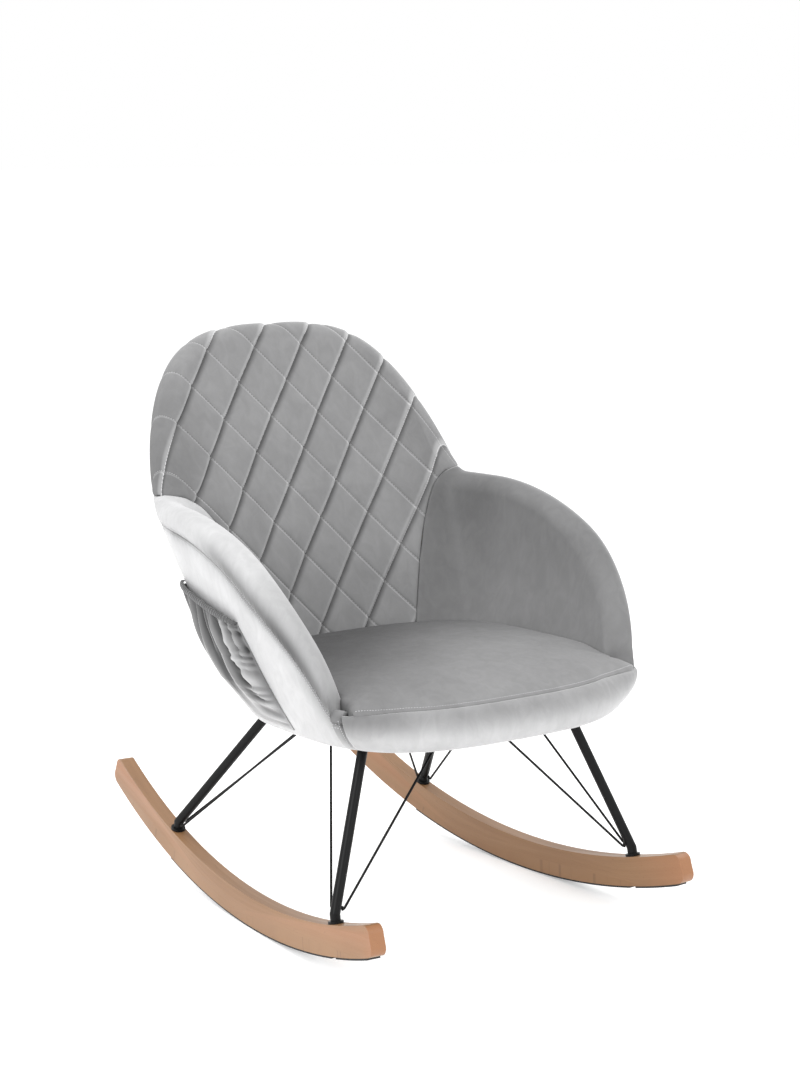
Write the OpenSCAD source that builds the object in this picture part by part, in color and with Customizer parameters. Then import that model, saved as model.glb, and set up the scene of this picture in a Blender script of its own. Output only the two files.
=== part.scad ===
// Upholstered rocking chair: a tub shell with a high back on a steel frame and two wooden rockers.
// The origin is on the floor, under the middle of the rockers' arcs.
// +Z is up, the sitter faces -Y and the sitter's right is -X. Millimetres.

/* [Overall] */
// Height of the top of the back above the floor
overall_height = 918; // [760:1:1105]
// Outer width across the arms
overall_width = 690; // [560:1:830]
// Distance from the widest point of the arms back to the top of the back
back_reach = 478; // [320:1:560]
// Distance from the middle of the rockers' arcs forward to the widest point of the arms
arm_widest_y = 70; // [0:1:140]
// Height of the underside of the shell above the floor
underside_height = 336; // [280:1:420]
// Depth of the front band, from the underside up to the seat's front seam
front_band_depth = 66; // [35:1:90]

/* [Shell] */
// Width of the shell at its underside
base_width = 552; // [440:1:640]
// Distance from the widest point back to the rear of the underside
base_rear_reach = 235; // [180:1:280]
// Distance from the widest point forward to the front of the seat
base_front_reach = 268; // [200:1:320]
// Wall thickness of the back
back_wall = 66; // [50:1:90]
// How much thinner the back is at its top than at half its height
back_top_thinning = 24; // [0:1:30]
// Wall thickness of the arms
arm_wall = 46; // [42:1:70]
// Height of the arms' level part above the seat's front seam
arm_rise = 255; // [160:1:300]
// Distance over which each arm falls away towards the front
arm_fall = 400; // [300:1:480]
// Angle, from straight back, at which each arm ends
arm_end_angle = 127; // [118:1:134]
// Angle at which the quilted back ends, measured at the top of the back
back_end_angle = 55; // [40:1:62]
// Angle at which the quilted back ends at the seat
back_end_angle_seat = 30; // [24:1:48]
// How far the wall swells outwards between its lower and upper edge
wall_bulge = 9; // [0:1:16]
// Thickness of the moulded shell panels inside the wall
panel_thickness = 12; // [6:1:16]
// Thickness of a sewn cover
cover_thickness = 3; // [2:0.5:5]
// Depth of the outer seam below the rim, at the back
seam_depth = 36; // [30:1:60]
// Depth of the outer seam below the rim, towards the front of the arms
seam_depth_front = 58; // [40:1:120]
// Radius of the rounded lower edge of the shell
edge_radius = 12; // [6:1:18]

/* [Seat] */
// Height of the seat's crown above its front seam
seat_crown = 42; // [10:1:60]
// Height of the seat's edge along the walls above its front seam
seat_edge_rise = 26; // [0:1:36]
// Thickness of the seat board
seat_board_thickness = 18; // [12:1:24]

/* [Pockets] */
// How far a pocket's mouth stands off the arm
pocket_stand = 16; // [12:1:35]
// Height of the pocket's mouth above the underside, at its front
pocket_mouth_front = 166; // [90:1:190]
// Height of the pocket's mouth above the underside, at its rear
pocket_mouth_rear = 196; // [100:1:220]
// Angle at which the pocket's mouth ends towards the front
pocket_front_angle = 86; // [78:1:100]
// Angle at which the pocket's lower corner ends towards the front
pocket_low_angle = 103; // [84:1:112]
// Angle at which the pocket ends towards the rear
pocket_rear_angle = 57; // [50:1:70]

/* [Rockers] */
// Radius of the rockers' running arc, with the grip strips
rocker_radius = 1157; // [900:1:1500]
// Height of the rocker section, without the strip
rocker_depth = 48; // [35:1:65]
// Width of the rocker section
rocker_width = 25; // [18:1:40]
// Distance between the rockers' middles, at the middle of the arcs
rocker_spacing = 544; // [440:1:640]
// Angle by which each rocker opens towards the front
rocker_toe = 3.9; // [0:0.1:8]
// Arc angle from the middle to the front end
rocker_front_angle = 19.6; // [15:0.1:26]
// Arc angle from the middle to the rear end
rocker_rear_angle = 26.4; // [18:0.1:32]
// Radius of the rounded corners at the rockers' ends
rocker_end_radius = 14; // [4:1:20]
// Thickness of the grip strips
strip_thickness = 3; // [2:0.5:5]

/* [Frame] */
// Outer diameter of the legs and rails
tube_diameter = 16; // [12:1:25]
// Wall of the leg tubes
tube_wall = 1.5; // [1:0.1:3]
// Diameter of the brace wires
wire_diameter = 4; // [3:0.5:6]
// Arc angle of the front legs on the rockers
front_leg_angle = 13.5; // [10:0.1:16]
// Arc angle of the rear legs on the rockers
rear_leg_angle = 14.7; // [11:0.1:18]
// Distance between the front corners of the top frame
frame_front_width = 382; // [300:1:440]
// Distance between the rear corners of the top frame
frame_rear_width = 338; // [260:1:400]
// Distance forward from the origin to the top frame's front rail
frame_front_y = 191; // [140:1:230]
// Distance back from the origin to the top frame's rear rail
frame_rear_y = 81; // [50:1:110]
// Length of the upright stub at the foot of a front leg
front_stub = 14; // [10:1:60]
// Length of the upright stub at the foot of a rear leg
rear_stub = 14; // [10:1:50]

/* [Hardware] */
// Diameter of the bolts through the rockers
rocker_bolt = 8; // [6:1:10]
// Diameter of the bolts into the seat board
seat_bolt = 6; // [5:1:8]
// Thickness of the mounting plates
plate_thickness = 4; // [3:0.5:6]

/* [Hidden] */
$fn = 48;
gap = 0.4;
fit_gap = 1.2;
zb = underside_height;
zs = underside_height + front_band_depth;
wc = -arm_widest_y;
seam_width = base_width + 20;
seam_front_reach = base_front_reach - 8;
arm_front_reach = 310;
board_low = zb + tube_diameter + plate_thickness + 1.2;
board_high = board_low + seat_board_thickness;
pad_low = board_high + 3;
tr = tube_diameter / 2;
wr = wire_diameter / 2;
rail_z = zb + tr - 1;
strip_r = rocker_radius;
wood_r = rocker_radius - strip_thickness;
top_r = wood_r - rocker_depth;
front_corner = [frame_front_width / 2, -frame_front_y, rail_z];
rear_corner = [frame_rear_width / 2, frame_rear_y, rail_z];
side_mid = (front_corner + rear_corner) / 2;
velvet = [0.66, 0.66, 0.67];
velvet_light = [0.78, 0.78, 0.79];
foam = [0.93, 0.88, 0.70];
beech = [0.75, 0.56, 0.39];
ply = [0.80, 0.66, 0.46];
black = [0.10, 0.10, 0.10];
steel = [0.70, 0.70, 0.72];

// ---- plan curves of the shell -------------------------------------------

// Radius of a squared oval of half-size 1 in direction a (0 is straight back)
function rho(a, n) = pow(pow(abs(sin(a)), n) + pow(abs(cos(a)), n), -1 / n);

// Point on a squared oval: half width w, reach b to the back or f to the front
function oval(a, w, b, f, nb, nf) =
    let (back = abs(a) < 90, r = rho(a, back ? nb : nf))
    [w * r * sin(a), wc + (back ? b : f) * r * cos(a)];

// Outward direction of the same oval
function oval_out(a, w, b, f, nb, nf) =
    let (back = abs(a) < 90, n = back ? nb : nf, r = rho(a, n),
         x = sign(sin(a)) * pow(abs(r * sin(a)), n - 1) / w,
         y = sign(cos(a)) * pow(abs(r * cos(a)), n - 1) / (back ? b : f))
    [x, y] / norm([x, y]);

function foot_xy(a) = oval(a, base_width / 2, base_rear_reach, base_front_reach, 2.2, 3);
function foot_out(a) = oval_out(a, base_width / 2, base_rear_reach, base_front_reach, 2.2, 3);
function ease(u) = let (v = min(1, max(0, u))) v * v * (3 - 2 * v);

// Past the ends of the arms the rim runs into the seat's front seam
function seam_share(a) = ease((abs(a) - arm_end_angle) / 18);
function rim_xy(a) = oval(a, overall_width / 2, back_reach, arm_front_reach, 3.3, 2.3) * (1 - seam_share(a))
    + oval(a, seam_width / 2, base_rear_reach, seam_front_reach, 2.2, 3) * seam_share(a);
function rim_out(a) = oval_out(a, overall_width / 2, back_reach, arm_front_reach, 3.3, 2.3) * (1 - seam_share(a))
    + oval_out(a, seam_width / 2, base_rear_reach, seam_front_reach, 2.2, 3) * seam_share(a);

// Height of the back's dome and of the arm's slope above the front seam
function dome(x) = (overall_height - zs)
    * pow(max(0, 1 - pow(min(1, abs(x) / (overall_width * 0.471)), 3)), 1 / 3);
function slope(y) =
    let (u = min(1, max(0, (150 - y) / arm_fall)))
    arm_rise * pow(max(0, 1 - pow(u, 1.9)), 1 / 1.9);
function rim_z(a) = let (p = rim_xy(a), d = abs(a) < 90 ? dome(p[0]) : 0)
    zs + pow(pow(d, 9) + pow(slope(p[1]), 9), 1 / 9);

// Wall thickness, thinner towards the front of the arms
function wall(a) = let (u = min(1, abs(a) / arm_end_angle)) back_wall + (arm_wall - back_wall) * u;

// Thinning towards the top of the back, and half the thickness at the crest
function thin(z) = back_top_thinning * min(1, max(0, 2 * (z - zs) / (overall_height - zs) - 1));
function half(a) = (wall(a) - thin(rim_z(a))) / 2;

// Inset of the rounded lower edge at height z
function edge_in(z) = let (d = max(0, edge_radius - (z - zb)))
    edge_radius - sqrt(max(0, edge_radius * edge_radius - d * d));

// Point in the wall: p inwards from the outer face at height z
function wall_at(a, p, z) =
    let (f = max(0, (z - zb) / (rim_z(a) - zb)),
         o = foot_xy(a) * (1 - f) + rim_xy(a) * f,
         n0 = foot_out(a) * (1 - f) + rim_out(a) * f,
         n = n0 / norm(n0),
         h = p + edge_in(z) - wall_bulge * sin(180 * min(1, f)),
         q = o - n * h)
    [q[0], q[1], z];

// Point in the wall at a depth below the rim
function wall_below(a, p, depth) = wall_at(a, p, rim_z(a) - depth);

// Depth of the seam, of the crest, and of the cap under it, shallower where the arm runs out
function room(a) = rim_z(a) - pad_low;
function seam_deep(a) = seam_depth + (seam_depth_front - seam_depth) * ease((abs(a) - back_end_angle) / 48);
function seam_at(a) = min(seam_deep(a), room(a) * 0.7);
function crest_at(a) = min(half(a) * (1 + 0.8 * ease((abs(a) - 80) / 35)), room(a) * 0.6);
function cap_at(a) = min(seam_deep(a) + 3, room(a) * 0.78);

// Section over the crest, from the outer seam down the inner face, at offset d inside the surface
crest_steps = 8;
face_steps = 7;
function crest_row(a, d, low) =
    let (t = half(a), c = crest_at(a), s = seam_at(a), z0 = rim_z(a))
    concat(
        [wall_at(a, d, z0 - max(s, c))],
        [for (i = [0:crest_steps]) let (g = 180 * i / crest_steps)
            wall_at(a, t - (t - d) * cos(g), z0 - c + (c - d) * sin(g))],
        [for (i = [1:face_steps]) let (f = i / face_steps, z = (z0 - c) + (low - (z0 - c)) * f)
            wall_at(a, wall(a) - thin(z + c * (1 - f)) - d, z)]);

// Inner boundary of the foam: across the cap, then down the panel's inner face
function foam_row(a, d, low) =
    let (e = cover_thickness + panel_thickness + 5 * fit_gap, k = cap_at(a), z0 = rim_z(a), n = crest_steps + 1)
    concat(
        [for (i = [0:n]) wall_at(a, d + (e - d) * i / n, z0 - k)],
        [for (i = [1:face_steps]) let (z = (z0 - k) + (low - (z0 - k)) * i / face_steps)
            wall_at(a, e, z)]);

// Straight column in the wall between two heights
function column(a, p, z0, z1, n) = [for (i = [0:n]) wall_at(a, p, z0 + (z1 - z0) * i / n)];

// The same from the underside up, with closer points round the lower edge
function skirt(a, p, z1, n) = concat(
    [for (k = [0, 0.12, 0.4]) wall_at(a, p, zb + k * edge_radius)],
    column(a, p, zb + edge_radius, z1, n));

// Closed slab between two matching grids of points
module slab(a, b) {
    rows = len(a);
    cols = len(a[0]);
    pts = concat([for (r = a) for (q = r) q], [for (r = b) for (q = r) q]);
    off = rows * cols;
    top = [for (i = [0:rows - 2]) for (j = [0:cols - 2])
        let (k = i * cols + j) each [[k, k + cols, k + cols + 1], [k, k + cols + 1, k + 1]]];
    low = [for (f = top) [f[2] + off, f[1] + off, f[0] + off]];
    rim = concat(
        [for (j = [0:cols - 1]) j],
        [for (i = [1:rows - 1]) i * cols + cols - 1],
        [for (j = [cols - 2:-1:0]) (rows - 1) * cols + j],
        [for (i = [rows - 2:-1:1]) i * cols]);
    m = len(rim);
    side = [for (i = [0:m - 1]) let (p = rim[i], q = rim[(i + 1) % m])
        each [[p, q, q + off], [p, q + off, p + off]]];
    polyhedron(points = pts, faces = concat(top, low, side), convexity = 8);
}

// Closed body through a stack of matching rings
module rings(r) {
    n = len(r);
    k = len(r[0]);
    mid = function (q) [for (i = [0:2]) let (s = [for (p = q) p[i]]) s * [for (p = q) 1] / k];
    pts = concat([for (q = r) for (p = q) p], [mid(r[0]), mid(r[n - 1])]);
    wallf = [for (i = [0:n - 2]) for (j = [0:k - 1])
        let (a = i * k + j, b = i * k + (j + 1) % k)
        each [[a, b + k, b], [a, a + k, b + k]]];
    capa = [for (j = [0:k - 1]) [j, (j + 1) % k, n * k]];
    capb = [for (j = [0:k - 1]) [(n - 1) * k + (j + 1) % k, (n - 1) * k + j, n * k + 1]];
    polyhedron(points = pts, faces = concat(wallf, capa, capb), convexity = 6);
}

// Angle of the joint between back and arm at height z, and a blend from one angle to another
function joint_angle(z) = let (u = min(1, max(0, (z - zs) / (arm_rise * 1.05))))
    back_end_angle_seat + (back_end_angle - back_end_angle_seat) * u;

// Stations from angle a0 to a1, even or closing up towards a1
function stations(a0, a1, n) = [for (i = [0:n]) a0 + (a1 - a0) * i / n];
function closing(a0, a1, n) = [for (i = [0:n]) a0 + (a1 - a0) * (0.35 * i / n + 0.65 * sin(90 * i / n))];

// ---- upholstery ----------------------------------------------------------

joint_gap = 0.4;
panel_end_angle = arm_end_angle - 14;

module back_wall_part(kind) {
    n = 22;
    us = stations(-1, 1, n);
    low = kind == "foam" ? pad_low + gap : pad_low;
    row_a = function (u, g, d) [for (q = crest_row(0, d, low)) q];
    // Each point's angle follows the joint line, so the back narrows towards the seat
    a_of = function (u, z) u * (joint_angle(z) - joint_gap);
    lift = function (u, f) let (a1 = u * (back_end_angle - joint_gap))
        [for (j = [0:len(f(0)) - 1]) let (z = f(a1)[j][2], a = a_of(u, z)) f(a)[j]];
    outer = [for (u = us) lift(u, function (a) crest_row(a, kind == "foam" ? cover_thickness + fit_gap : 0, low))];
    inner = [for (u = us) lift(u, function (a) kind == "foam"
        ? foam_row(a, cover_thickness + fit_gap, low) : crest_row(a, cover_thickness, low))];
    slab(outer, inner);
}

module arm_wall_part(kind) {
    n = 20;
    low = kind == "foam" ? pad_low + gap : pad_low;
    a_of = function (u, z) let (s = joint_angle(z) + joint_gap) s + (arm_end_angle - s) * u;
    lift = function (u, f) let (a1 = back_end_angle + (arm_end_angle - back_end_angle) * u)
        [for (j = [0:len(f(0)) - 1]) let (z = f(a1)[j][2], a = a_of(u, z)) f(a)[j]];
    us = closing(0, 1, n);
    outer = [for (u = us) lift(u, function (a) crest_row(a, kind == "foam" ? cover_thickness + fit_gap : 0, low))];
    inner = [for (u = us) lift(u, function (a) kind == "foam"
        ? foam_row(a, cover_thickness + fit_gap, low) : crest_row(a, cover_thickness, low))];
    slab(outer, inner);
}

module back_foam() {
    color(foam) back_wall_part("foam");
}

module quilted_back_cover() {
    color(velvet) back_wall_part("cover");
}

module arm_foam() {
    color(foam) arm_wall_part("foam");
}

module inner_arm_cover() {
    color(velvet) arm_wall_part("cover");
}

// Outer cover between two angles, from the lower edge to the outer seam
module outer_cover(as) {
    m = 6;
    face = function (p) [for (a = as) skirt(a, p, rim_z(a) - max(seam_at(a), crest_at(a)) - 3.6, m)];
    slab(face(0), face(cover_thickness));
}

module outer_back_cover() {
    color(velvet) outer_cover(stations(-back_end_angle + 0.2, back_end_angle - 0.2, 24));
}

module outer_arm_cover() {
    color(velvet_light) outer_cover(closing(back_end_angle + 0.2, arm_end_angle, 20));
}

// Moulded panel inside the wall
module wall_panel(a0, a1, n) {
    as = stations(a0, a1, n);
    p0 = cover_thickness + fit_gap;
    face = function (p) [for (a = as)
        column(a, p, board_high + 1, rim_z(a) - cap_at(a) - 2, 7)];
    slab(face(p0), face(p0 + panel_thickness));
}

module back_panel() {
    color(ply) wall_panel(-back_end_angle + 0.2, back_end_angle - 0.2, 22);
}

module arm_panel() {
    color(ply) wall_panel(back_end_angle + 0.2, panel_end_angle, 14);
}

// ---- seat ----------------------------------------------------------------

// Plan of the seat pad: inside the wall, then out to the front band in front of the arms
function seat_inset(a) =
    let (b = abs(a), w = wall(a) + 5.5 * fit_gap, s = cover_thickness + fit_gap,
         u = min(1, max(0, (b - arm_end_angle - 1) / 9)), v = u * u * (3 - 2 * u))
    w + (s - w) * v;
function seat_xy(a, z) = let (q = wall_at(a, seat_inset(a), z)) [q[0], q[1]];
function full_circle(n) = [for (i = [0:n - 1]) -180 + 360 * i / n];
function seat_mid() = [0, wc - 25];
function edge_z(a) = zs - 3 + seat_edge_rise * (1 - ease((abs(a) - arm_end_angle + 14) / 28));
function crown_z(a, u) = let (e = edge_z(a)) e + (zs + seat_crown - 3 - e) * (1 - pow(u, 3.2));

module seat_pad(low, lift) {
    as = full_circle(72);
    m = seat_mid();
    ring = function (u, z, zp) [for (a = as)
        let (q = seat_xy(a, zp), p = m + (q - m) * u) [p[0], p[1], z]];
    top = function (u, dz) [for (a = as)
        let (q = seat_xy(a, edge_z(a)), p = m + (q - m) * u) [p[0], p[1], crown_z(a, u) + dz]];
    us = [0.985, 0.94, 0.86, 0.74, 0.58, 0.38, 0.16];
    rings(concat(
        [ring(0.97, low, low), ring(1, low + 4, low + 4), ring(1, low + 12, low + 12), top(1, lift - 5)],
        [for (u = us) top(u, lift)]));
}

module seat_foam() {
    color(foam) seat_pad(board_high + gap, -cover_thickness - fit_gap);
}

// Sewn top of the seat: a skin over the foam down to the front seam
module seat_cover() {
    as = full_circle(72);
    m = seat_mid();
    us = [1, 0.985, 0.94, 0.86, 0.74, 0.58, 0.38, 0.16];
    ring = function (u, dz) [for (a = as)
        let (q = seat_xy(a, edge_z(a)), p = m + (q - m) * u) [p[0], p[1], crown_z(a, u) + dz]];
    color(velvet) rings(concat(
        [for (i = [len(us) - 1:-1:0]) ring(us[i], -cover_thickness)],
        [for (i = [0:len(us) - 1]) ring(us[i], 0)]));
}

// Band across the front, from the lower edge to the front seam
module front_band() {
    as = stations(arm_end_angle + 0.4, 360 - arm_end_angle - 0.4, 30);
    wrap = function (a) a > 180 ? a - 360 : a;
    face = function (p) [for (a = as) skirt(wrap(a), p, zs - 6, 3)];
    color(velvet_light) slab(face(0), face(cover_thickness));
}

function plan(inset, z, n) = [for (a = full_circle(n)) let (q = wall_at(a, inset, z)) [q[0], q[1]]];

plate_at = [for (c = [front_corner, rear_corner]) [c[0] - 30, c[1] + (c[1] < 0 ? 30 : -30)]];
bolt_spots = [for (sx = [-1, 1]) for (q = plate_at) [sx * q[0], q[1]]];

module seat_board() {
    color(ply) difference() {
        translate([0, 0, board_low]) linear_extrude(seat_board_thickness) intersection() {
            polygon(plan(cover_thickness + 1.8 * fit_gap, board_low, 72));
            polygon(plan(cover_thickness + 1.8 * fit_gap, board_high, 72));
        }
        for (q = bolt_spots) {
            translate([q[0], q[1], board_low - 1]) cylinder(h = seat_board_thickness + 2, r = seat_bolt / 2 + 1.6);
        }
    }
}

module dust_cover() {
    color(black) difference() {
        translate([0, 0, board_low - 1.7]) linear_extrude(1.5)
            polygon(plan(cover_thickness + 4, board_low - 2, 72));
        for (q = bolt_spots) {
            translate([q[0], q[1], board_low - 3]) cylinder(h = 4, r = seat_bolt / 2 + 2);
        }
    }
}

// ---- pockets -------------------------------------------------------------

// Stand-off of the pocket's cloth at width u and height v, both from 0 to 1
function puff(u, v) = pocket_stand * pow(max(0, 1 - pow(abs(2 * u - 1), 5)), 1 / 2)
    * (0.8 + 0.6 * sin(180 * v)) * pow(min(1, v * 3), 0.6);
function mouth_z(u) = zb + pocket_mouth_rear + (pocket_mouth_front - pocket_mouth_rear) * u;
function pocket_at(u, v, p) =
    let (front = pocket_low_angle + (pocket_front_angle - pocket_low_angle) * v,
         a = pocket_rear_angle + (front - pocket_rear_angle) * u,
         z = zb + 14 + (mouth_z(u) - zb - 14) * v)
    wall_at(a, -p - gap, z);

module pocket() {
    n = 18;
    m = 9;
    sheet = function (t) [for (i = [0:n]) [for (j = [0:m]) pocket_at(i / n, j / m, puff(i / n, j / m) + t)]];
    color(velvet) slab(sheet(2.4), sheet(0));
}

// Gathered casing along the mouth, with the elastic inside it
module pocket_hem() {
    n = 24;
    r = 4;
    k = 10;
    ring = function (u) let (h = max(puff(u, 1) + 1.2, r + fit_gap), c = pocket_at(u, 1, h),
        d = pocket_at(u, 1, h + 1) - c,
        e = d / norm(d))
        [for (j = [0:k - 1]) let (g = 360 * j / k)
            [c[0] + e[0] * r * cos(g), c[1] + e[1] * r * cos(g), c[2] + r + 0.4 + r * sin(g)]];
    color(velvet) rings([for (i = [0:n]) ring(i / n)]);
}

// ---- rockers -------------------------------------------------------------

// Everything in a rocker's own upright plane: u runs back, v runs up
module on_rocker() {
    translate([rocker_spacing / 2, 0, 0]) rotate([0, 0, rocker_toe]) children();
}

// Sector between two radii about the arc's centre; angles run from the lowest point to the back
module arc_sector(r0, r1, a0, a1) {
    translate([0, strip_r]) difference() {
        intersection() {
            circle(r = r1, $fn = 720);
            polygon([[0, 0], for (i = [0:12]) let (g = a0 + (a1 - a0) * i / 12)
                [1.1 * r1 * sin(g), -1.1 * r1 * cos(g)]]);
        }
        circle(r = r0, $fn = 720);
    }
}

module rocker_outline() {
    e = rocker_end_radius;
    f = -rocker_front_angle;
    b = rocker_rear_angle;
    de = asin(e / wood_r);
    arc_sector(top_r, wood_r, f + de, b - de);
    arc_sector(top_r + e, wood_r - e, f, b);
    for (g = [f + de, b - de]) {
        for (r = [top_r + e, wood_r - e]) {
            translate([r * sin(g), strip_r - r * cos(g)]) circle(r = e - 0.03);
        }
    }
}

// A frame at the rocker's top, at arc angle g, pointing away from the floor
module at_arc(g, r) {
    translate([0, r * sin(g), strip_r - r * cos(g)]) rotate([g, 0, 0]) children();
}

module rocker() {
    color(beech) on_rocker() difference() {
        translate([-rocker_width / 2, 0, 0]) rotate([90, 0, 90]) linear_extrude(rocker_width) rocker_outline();
        for (g = [-front_leg_angle, rear_leg_angle]) {
            at_arc(g, wood_r) {
                translate([0, 0, -5]) cylinder(h = 25, r = rocker_bolt / 2 + 4);
                translate([0, 0, -5]) cylinder(h = rocker_depth + 10, r = rocker_bolt / 2 + 0.3);
            }
        }
    }
}

module strip(a0, a1) {
    color(black) on_rocker() translate([1 - rocker_width / 2, 0, 0]) rotate([90, 0, 90])
        linear_extrude(rocker_width - 2) arc_sector(wood_r + 0.05, strip_r, a0, a1);
}

module long_strip() {
    strip(0.35 - front_leg_angle, rear_leg_angle - 0.35);
}

module front_strip() {
    strip(1 - rocker_front_angle, -front_leg_angle - 0.35);
}

// ---- steel frame ---------------------------------------------------------

// Point on the rocker's centre line at arc angle g and radius r
function on_arc(g, r) =
    let (u = r * sin(g), v = strip_r - r * cos(g))
    [rocker_spacing / 2 - u * sin(rocker_toe), u * cos(rocker_toe), v];

// Round rod between two points
module rod(p, q, r) {
    d = q - p;
    h = norm(d);
    translate(p) rotate([0, acos(d[2] / h), atan2(d[1], d[0])]) cylinder(h = h, r = r);
}

module leg_solid(g, stub, corner, r, start) {
    foot = on_arc(g, top_r - start);
    knee = on_arc(g, top_r - stub);
    rod(foot, knee, r);
    translate(knee) sphere(r = r + 0.05);
    rod(knee, corner, r);
    translate(corner) sphere(r = r + 0.05);
}

module leg(g, stub, corner) {
    color(black) difference() {
        leg_solid(g, stub, corner, tr, 4.05);
        leg_solid(g, stub, corner, tr - tube_wall, 0);
    }
}

// Flange on the rocker with a threaded plug up into the leg
module foot(g, plug) {
    color(black) on_rocker() at_arc(g, top_r - 0.12) difference() {
        union() {
            cylinder(h = 3.9, r = tr + 4);
            cylinder(h = plug - 2.05, r = tr - tube_wall - 0.05);
        }
        translate([0, 0, -1]) cylinder(h = 30, r = rocker_bolt / 2 + 0.05);
    }
}

// Point on a leg's axis, a distance along the sloping part above the knee
function leg_point(g, stub, corner, d) =
    let (k = on_arc(g, top_r - stub), e = (corner - k) / norm(corner - k)) k + e * d;

// Brace wire from a leg's side to the underside of a rail, with a short hook at the leg
module brace(g, stub, corner, target, d) {
    c = leg_point(g, stub, corner, d);
    t = target - [0, 0, tr + wr + 0.1];
    k = on_arc(g, top_r - stub);
    up = (corner - k) / norm(corner - k);
    side = (t - c) - up * ((t - c) * up);
    e = side / norm(side);
    p0 = c + e * (tr + wr + 0.1);
    p1 = p0 + e * 2 - up * 5;
    p2 = p1 + e * 3 + up * 3;
    color(black) {
        rod(p0, p1, wr);
        translate(p1) sphere(r = wr + 0.05);
        rod(p1, p2, wr);
        translate(p2) sphere(r = wr + 0.05);
        rod(p2, t, wr);
    }
}

fl = [-front_leg_angle, front_stub, front_corner];
rl = [rear_leg_angle, rear_stub, rear_corner];
side_gap = 24;
cross_gap = 38;

module front_side_brace() {
    brace(fl[0], fl[1], fl[2], side_mid - [0, side_gap, 0], 14);
}

module front_cross_brace() {
    brace(fl[0], fl[1], fl[2], [cross_gap, -frame_front_y, rail_z], 14);
}

module rear_side_brace() {
    brace(rl[0], rl[1], rl[2], side_mid + [0, side_gap, 0], 8);
}

module rear_cross_brace() {
    brace(rl[0], rl[1], rl[2], [cross_gap, frame_rear_y, rail_z], 8);
}

// Straight rail between two corners, clear of the corner joints
module rail(p, q) {
    e = (q - p) / norm(q - p);
    s = tr + 0.8;
    color(black) difference() {
        rod(p + e * s, q - e * s, tr);
        rod(p, q, tr - tube_wall);
    }
}

function flip(p) = [-p[0], p[1], p[2]];

// Plate on the corner of the top frame, with the hole for a seat bolt
module plate(i) {
    c = [front_corner, rear_corner][i];
    s = i == 0 ? 1 : -1;
    h = plate_at[i];
    color(black) translate([0, 0, rail_z + tr + 0.05]) difference() {
        linear_extrude(plate_thickness) union() {
            polygon([[c[0] + 4, c[1] - s * 4], [c[0] + 4, c[1] + s * 26], [h[0] + 10, h[1] + s * 10],
                [h[0] - 10, h[1] + s * 10], [h[0] - 10, h[1] - s * 10], [c[0] - 26, c[1] - s * 4]]);
        }
        translate([h[0], h[1], -1]) cylinder(h = plate_thickness + 2, r = seat_bolt / 2 + 0.4);
    }
}

// ---- fasteners -----------------------------------------------------------

module hex_bolt(d, length, head) {
    difference() {
        union() {
            cylinder(h = length, r = d / 2);
            translate([0, 0, -head]) cylinder(h = head, r = d * 0.8);
        }
        translate([0, 0, -head - 1]) cylinder(h = head * 0.6 + 1, r = d * 0.36, $fn = 6);
    }
}

module rocker_bolts() {
    color(steel) for (s = [0, 1]) {
        mirror([s, 0, 0]) on_rocker() for (g = [-front_leg_angle, rear_leg_angle]) {
            at_arc(g, wood_r - 19.9) hex_bolt(rocker_bolt, rocker_depth - 20 + 4 + front_stub - 3, rocker_bolt * 0.9);
        }
    }
}

module seat_bolts() {
    color(steel) for (q = bolt_spots) {
        translate([q[0], q[1], rail_z + tr]) hex_bolt(seat_bolt,
            board_high - rail_z - tr - 3, seat_bolt * 0.8);
    }
}

module tee_nuts() {
    color(steel) for (q = bolt_spots) {
        translate([q[0], q[1], 0]) difference() {
            union() {
                translate([0, 0, board_high - 11]) cylinder(h = 11, r = seat_bolt / 2 + 1.5);
            }
            translate([0, 0, board_high - 12]) cylinder(h = 14, r = seat_bolt / 2 + 0.05);
        }
    }
}

// Mirror to the sitter's right
module right() {
    mirror([1, 0, 0]) children();
}

right() rocker();  // right_rocker
rocker();  // left_rocker
right() long_strip();  // right_long_strip
long_strip();  // left_long_strip
right() front_strip();  // right_front_strip
front_strip();  // left_front_strip
right() leg(fl[0], fl[1], fl[2]);  // front_right_leg
leg(fl[0], fl[1], fl[2]);  // front_left_leg
right() leg(rl[0], rl[1], rl[2]);  // rear_right_leg
leg(rl[0], rl[1], rl[2]);  // rear_left_leg
right() foot(fl[0], fl[1]);  // front_right_foot
foot(fl[0], fl[1]);  // front_left_foot
right() foot(rl[0], rl[1]);  // rear_right_foot
foot(rl[0], rl[1]);  // rear_left_foot
right() front_side_brace();  // front_right_side_brace
front_side_brace();  // front_left_side_brace
right() front_cross_brace();  // front_right_cross_brace
front_cross_brace();  // front_left_cross_brace
right() rear_side_brace();  // rear_right_side_brace
rear_side_brace();  // rear_left_side_brace
right() rear_cross_brace();  // rear_right_cross_brace
rear_cross_brace();  // rear_left_cross_brace
rail(flip(front_corner), front_corner);  // front_rail
rail(flip(rear_corner), rear_corner);  // rear_rail
right() rail(front_corner, rear_corner);  // right_rail
rail(front_corner, rear_corner);  // left_rail
right() plate(0);  // front_right_plate
plate(0);  // front_left_plate
right() plate(1);  // rear_right_plate
plate(1);  // rear_left_plate
rocker_bolts();
seat_bolts();
tee_nuts();
seat_board();
dust_cover();
back_panel();
right() arm_panel();  // right_arm_panel
arm_panel();  // left_arm_panel
back_foam();
right() arm_foam();  // right_arm_foam
arm_foam();  // left_arm_foam
seat_foam();
quilted_back_cover();
right() inner_arm_cover();  // right_inner_arm_cover
inner_arm_cover();  // left_inner_arm_cover
seat_cover();
front_band();
outer_back_cover();
right() outer_arm_cover();  // right_outer_arm_cover
outer_arm_cover();  // left_outer_arm_cover
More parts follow.
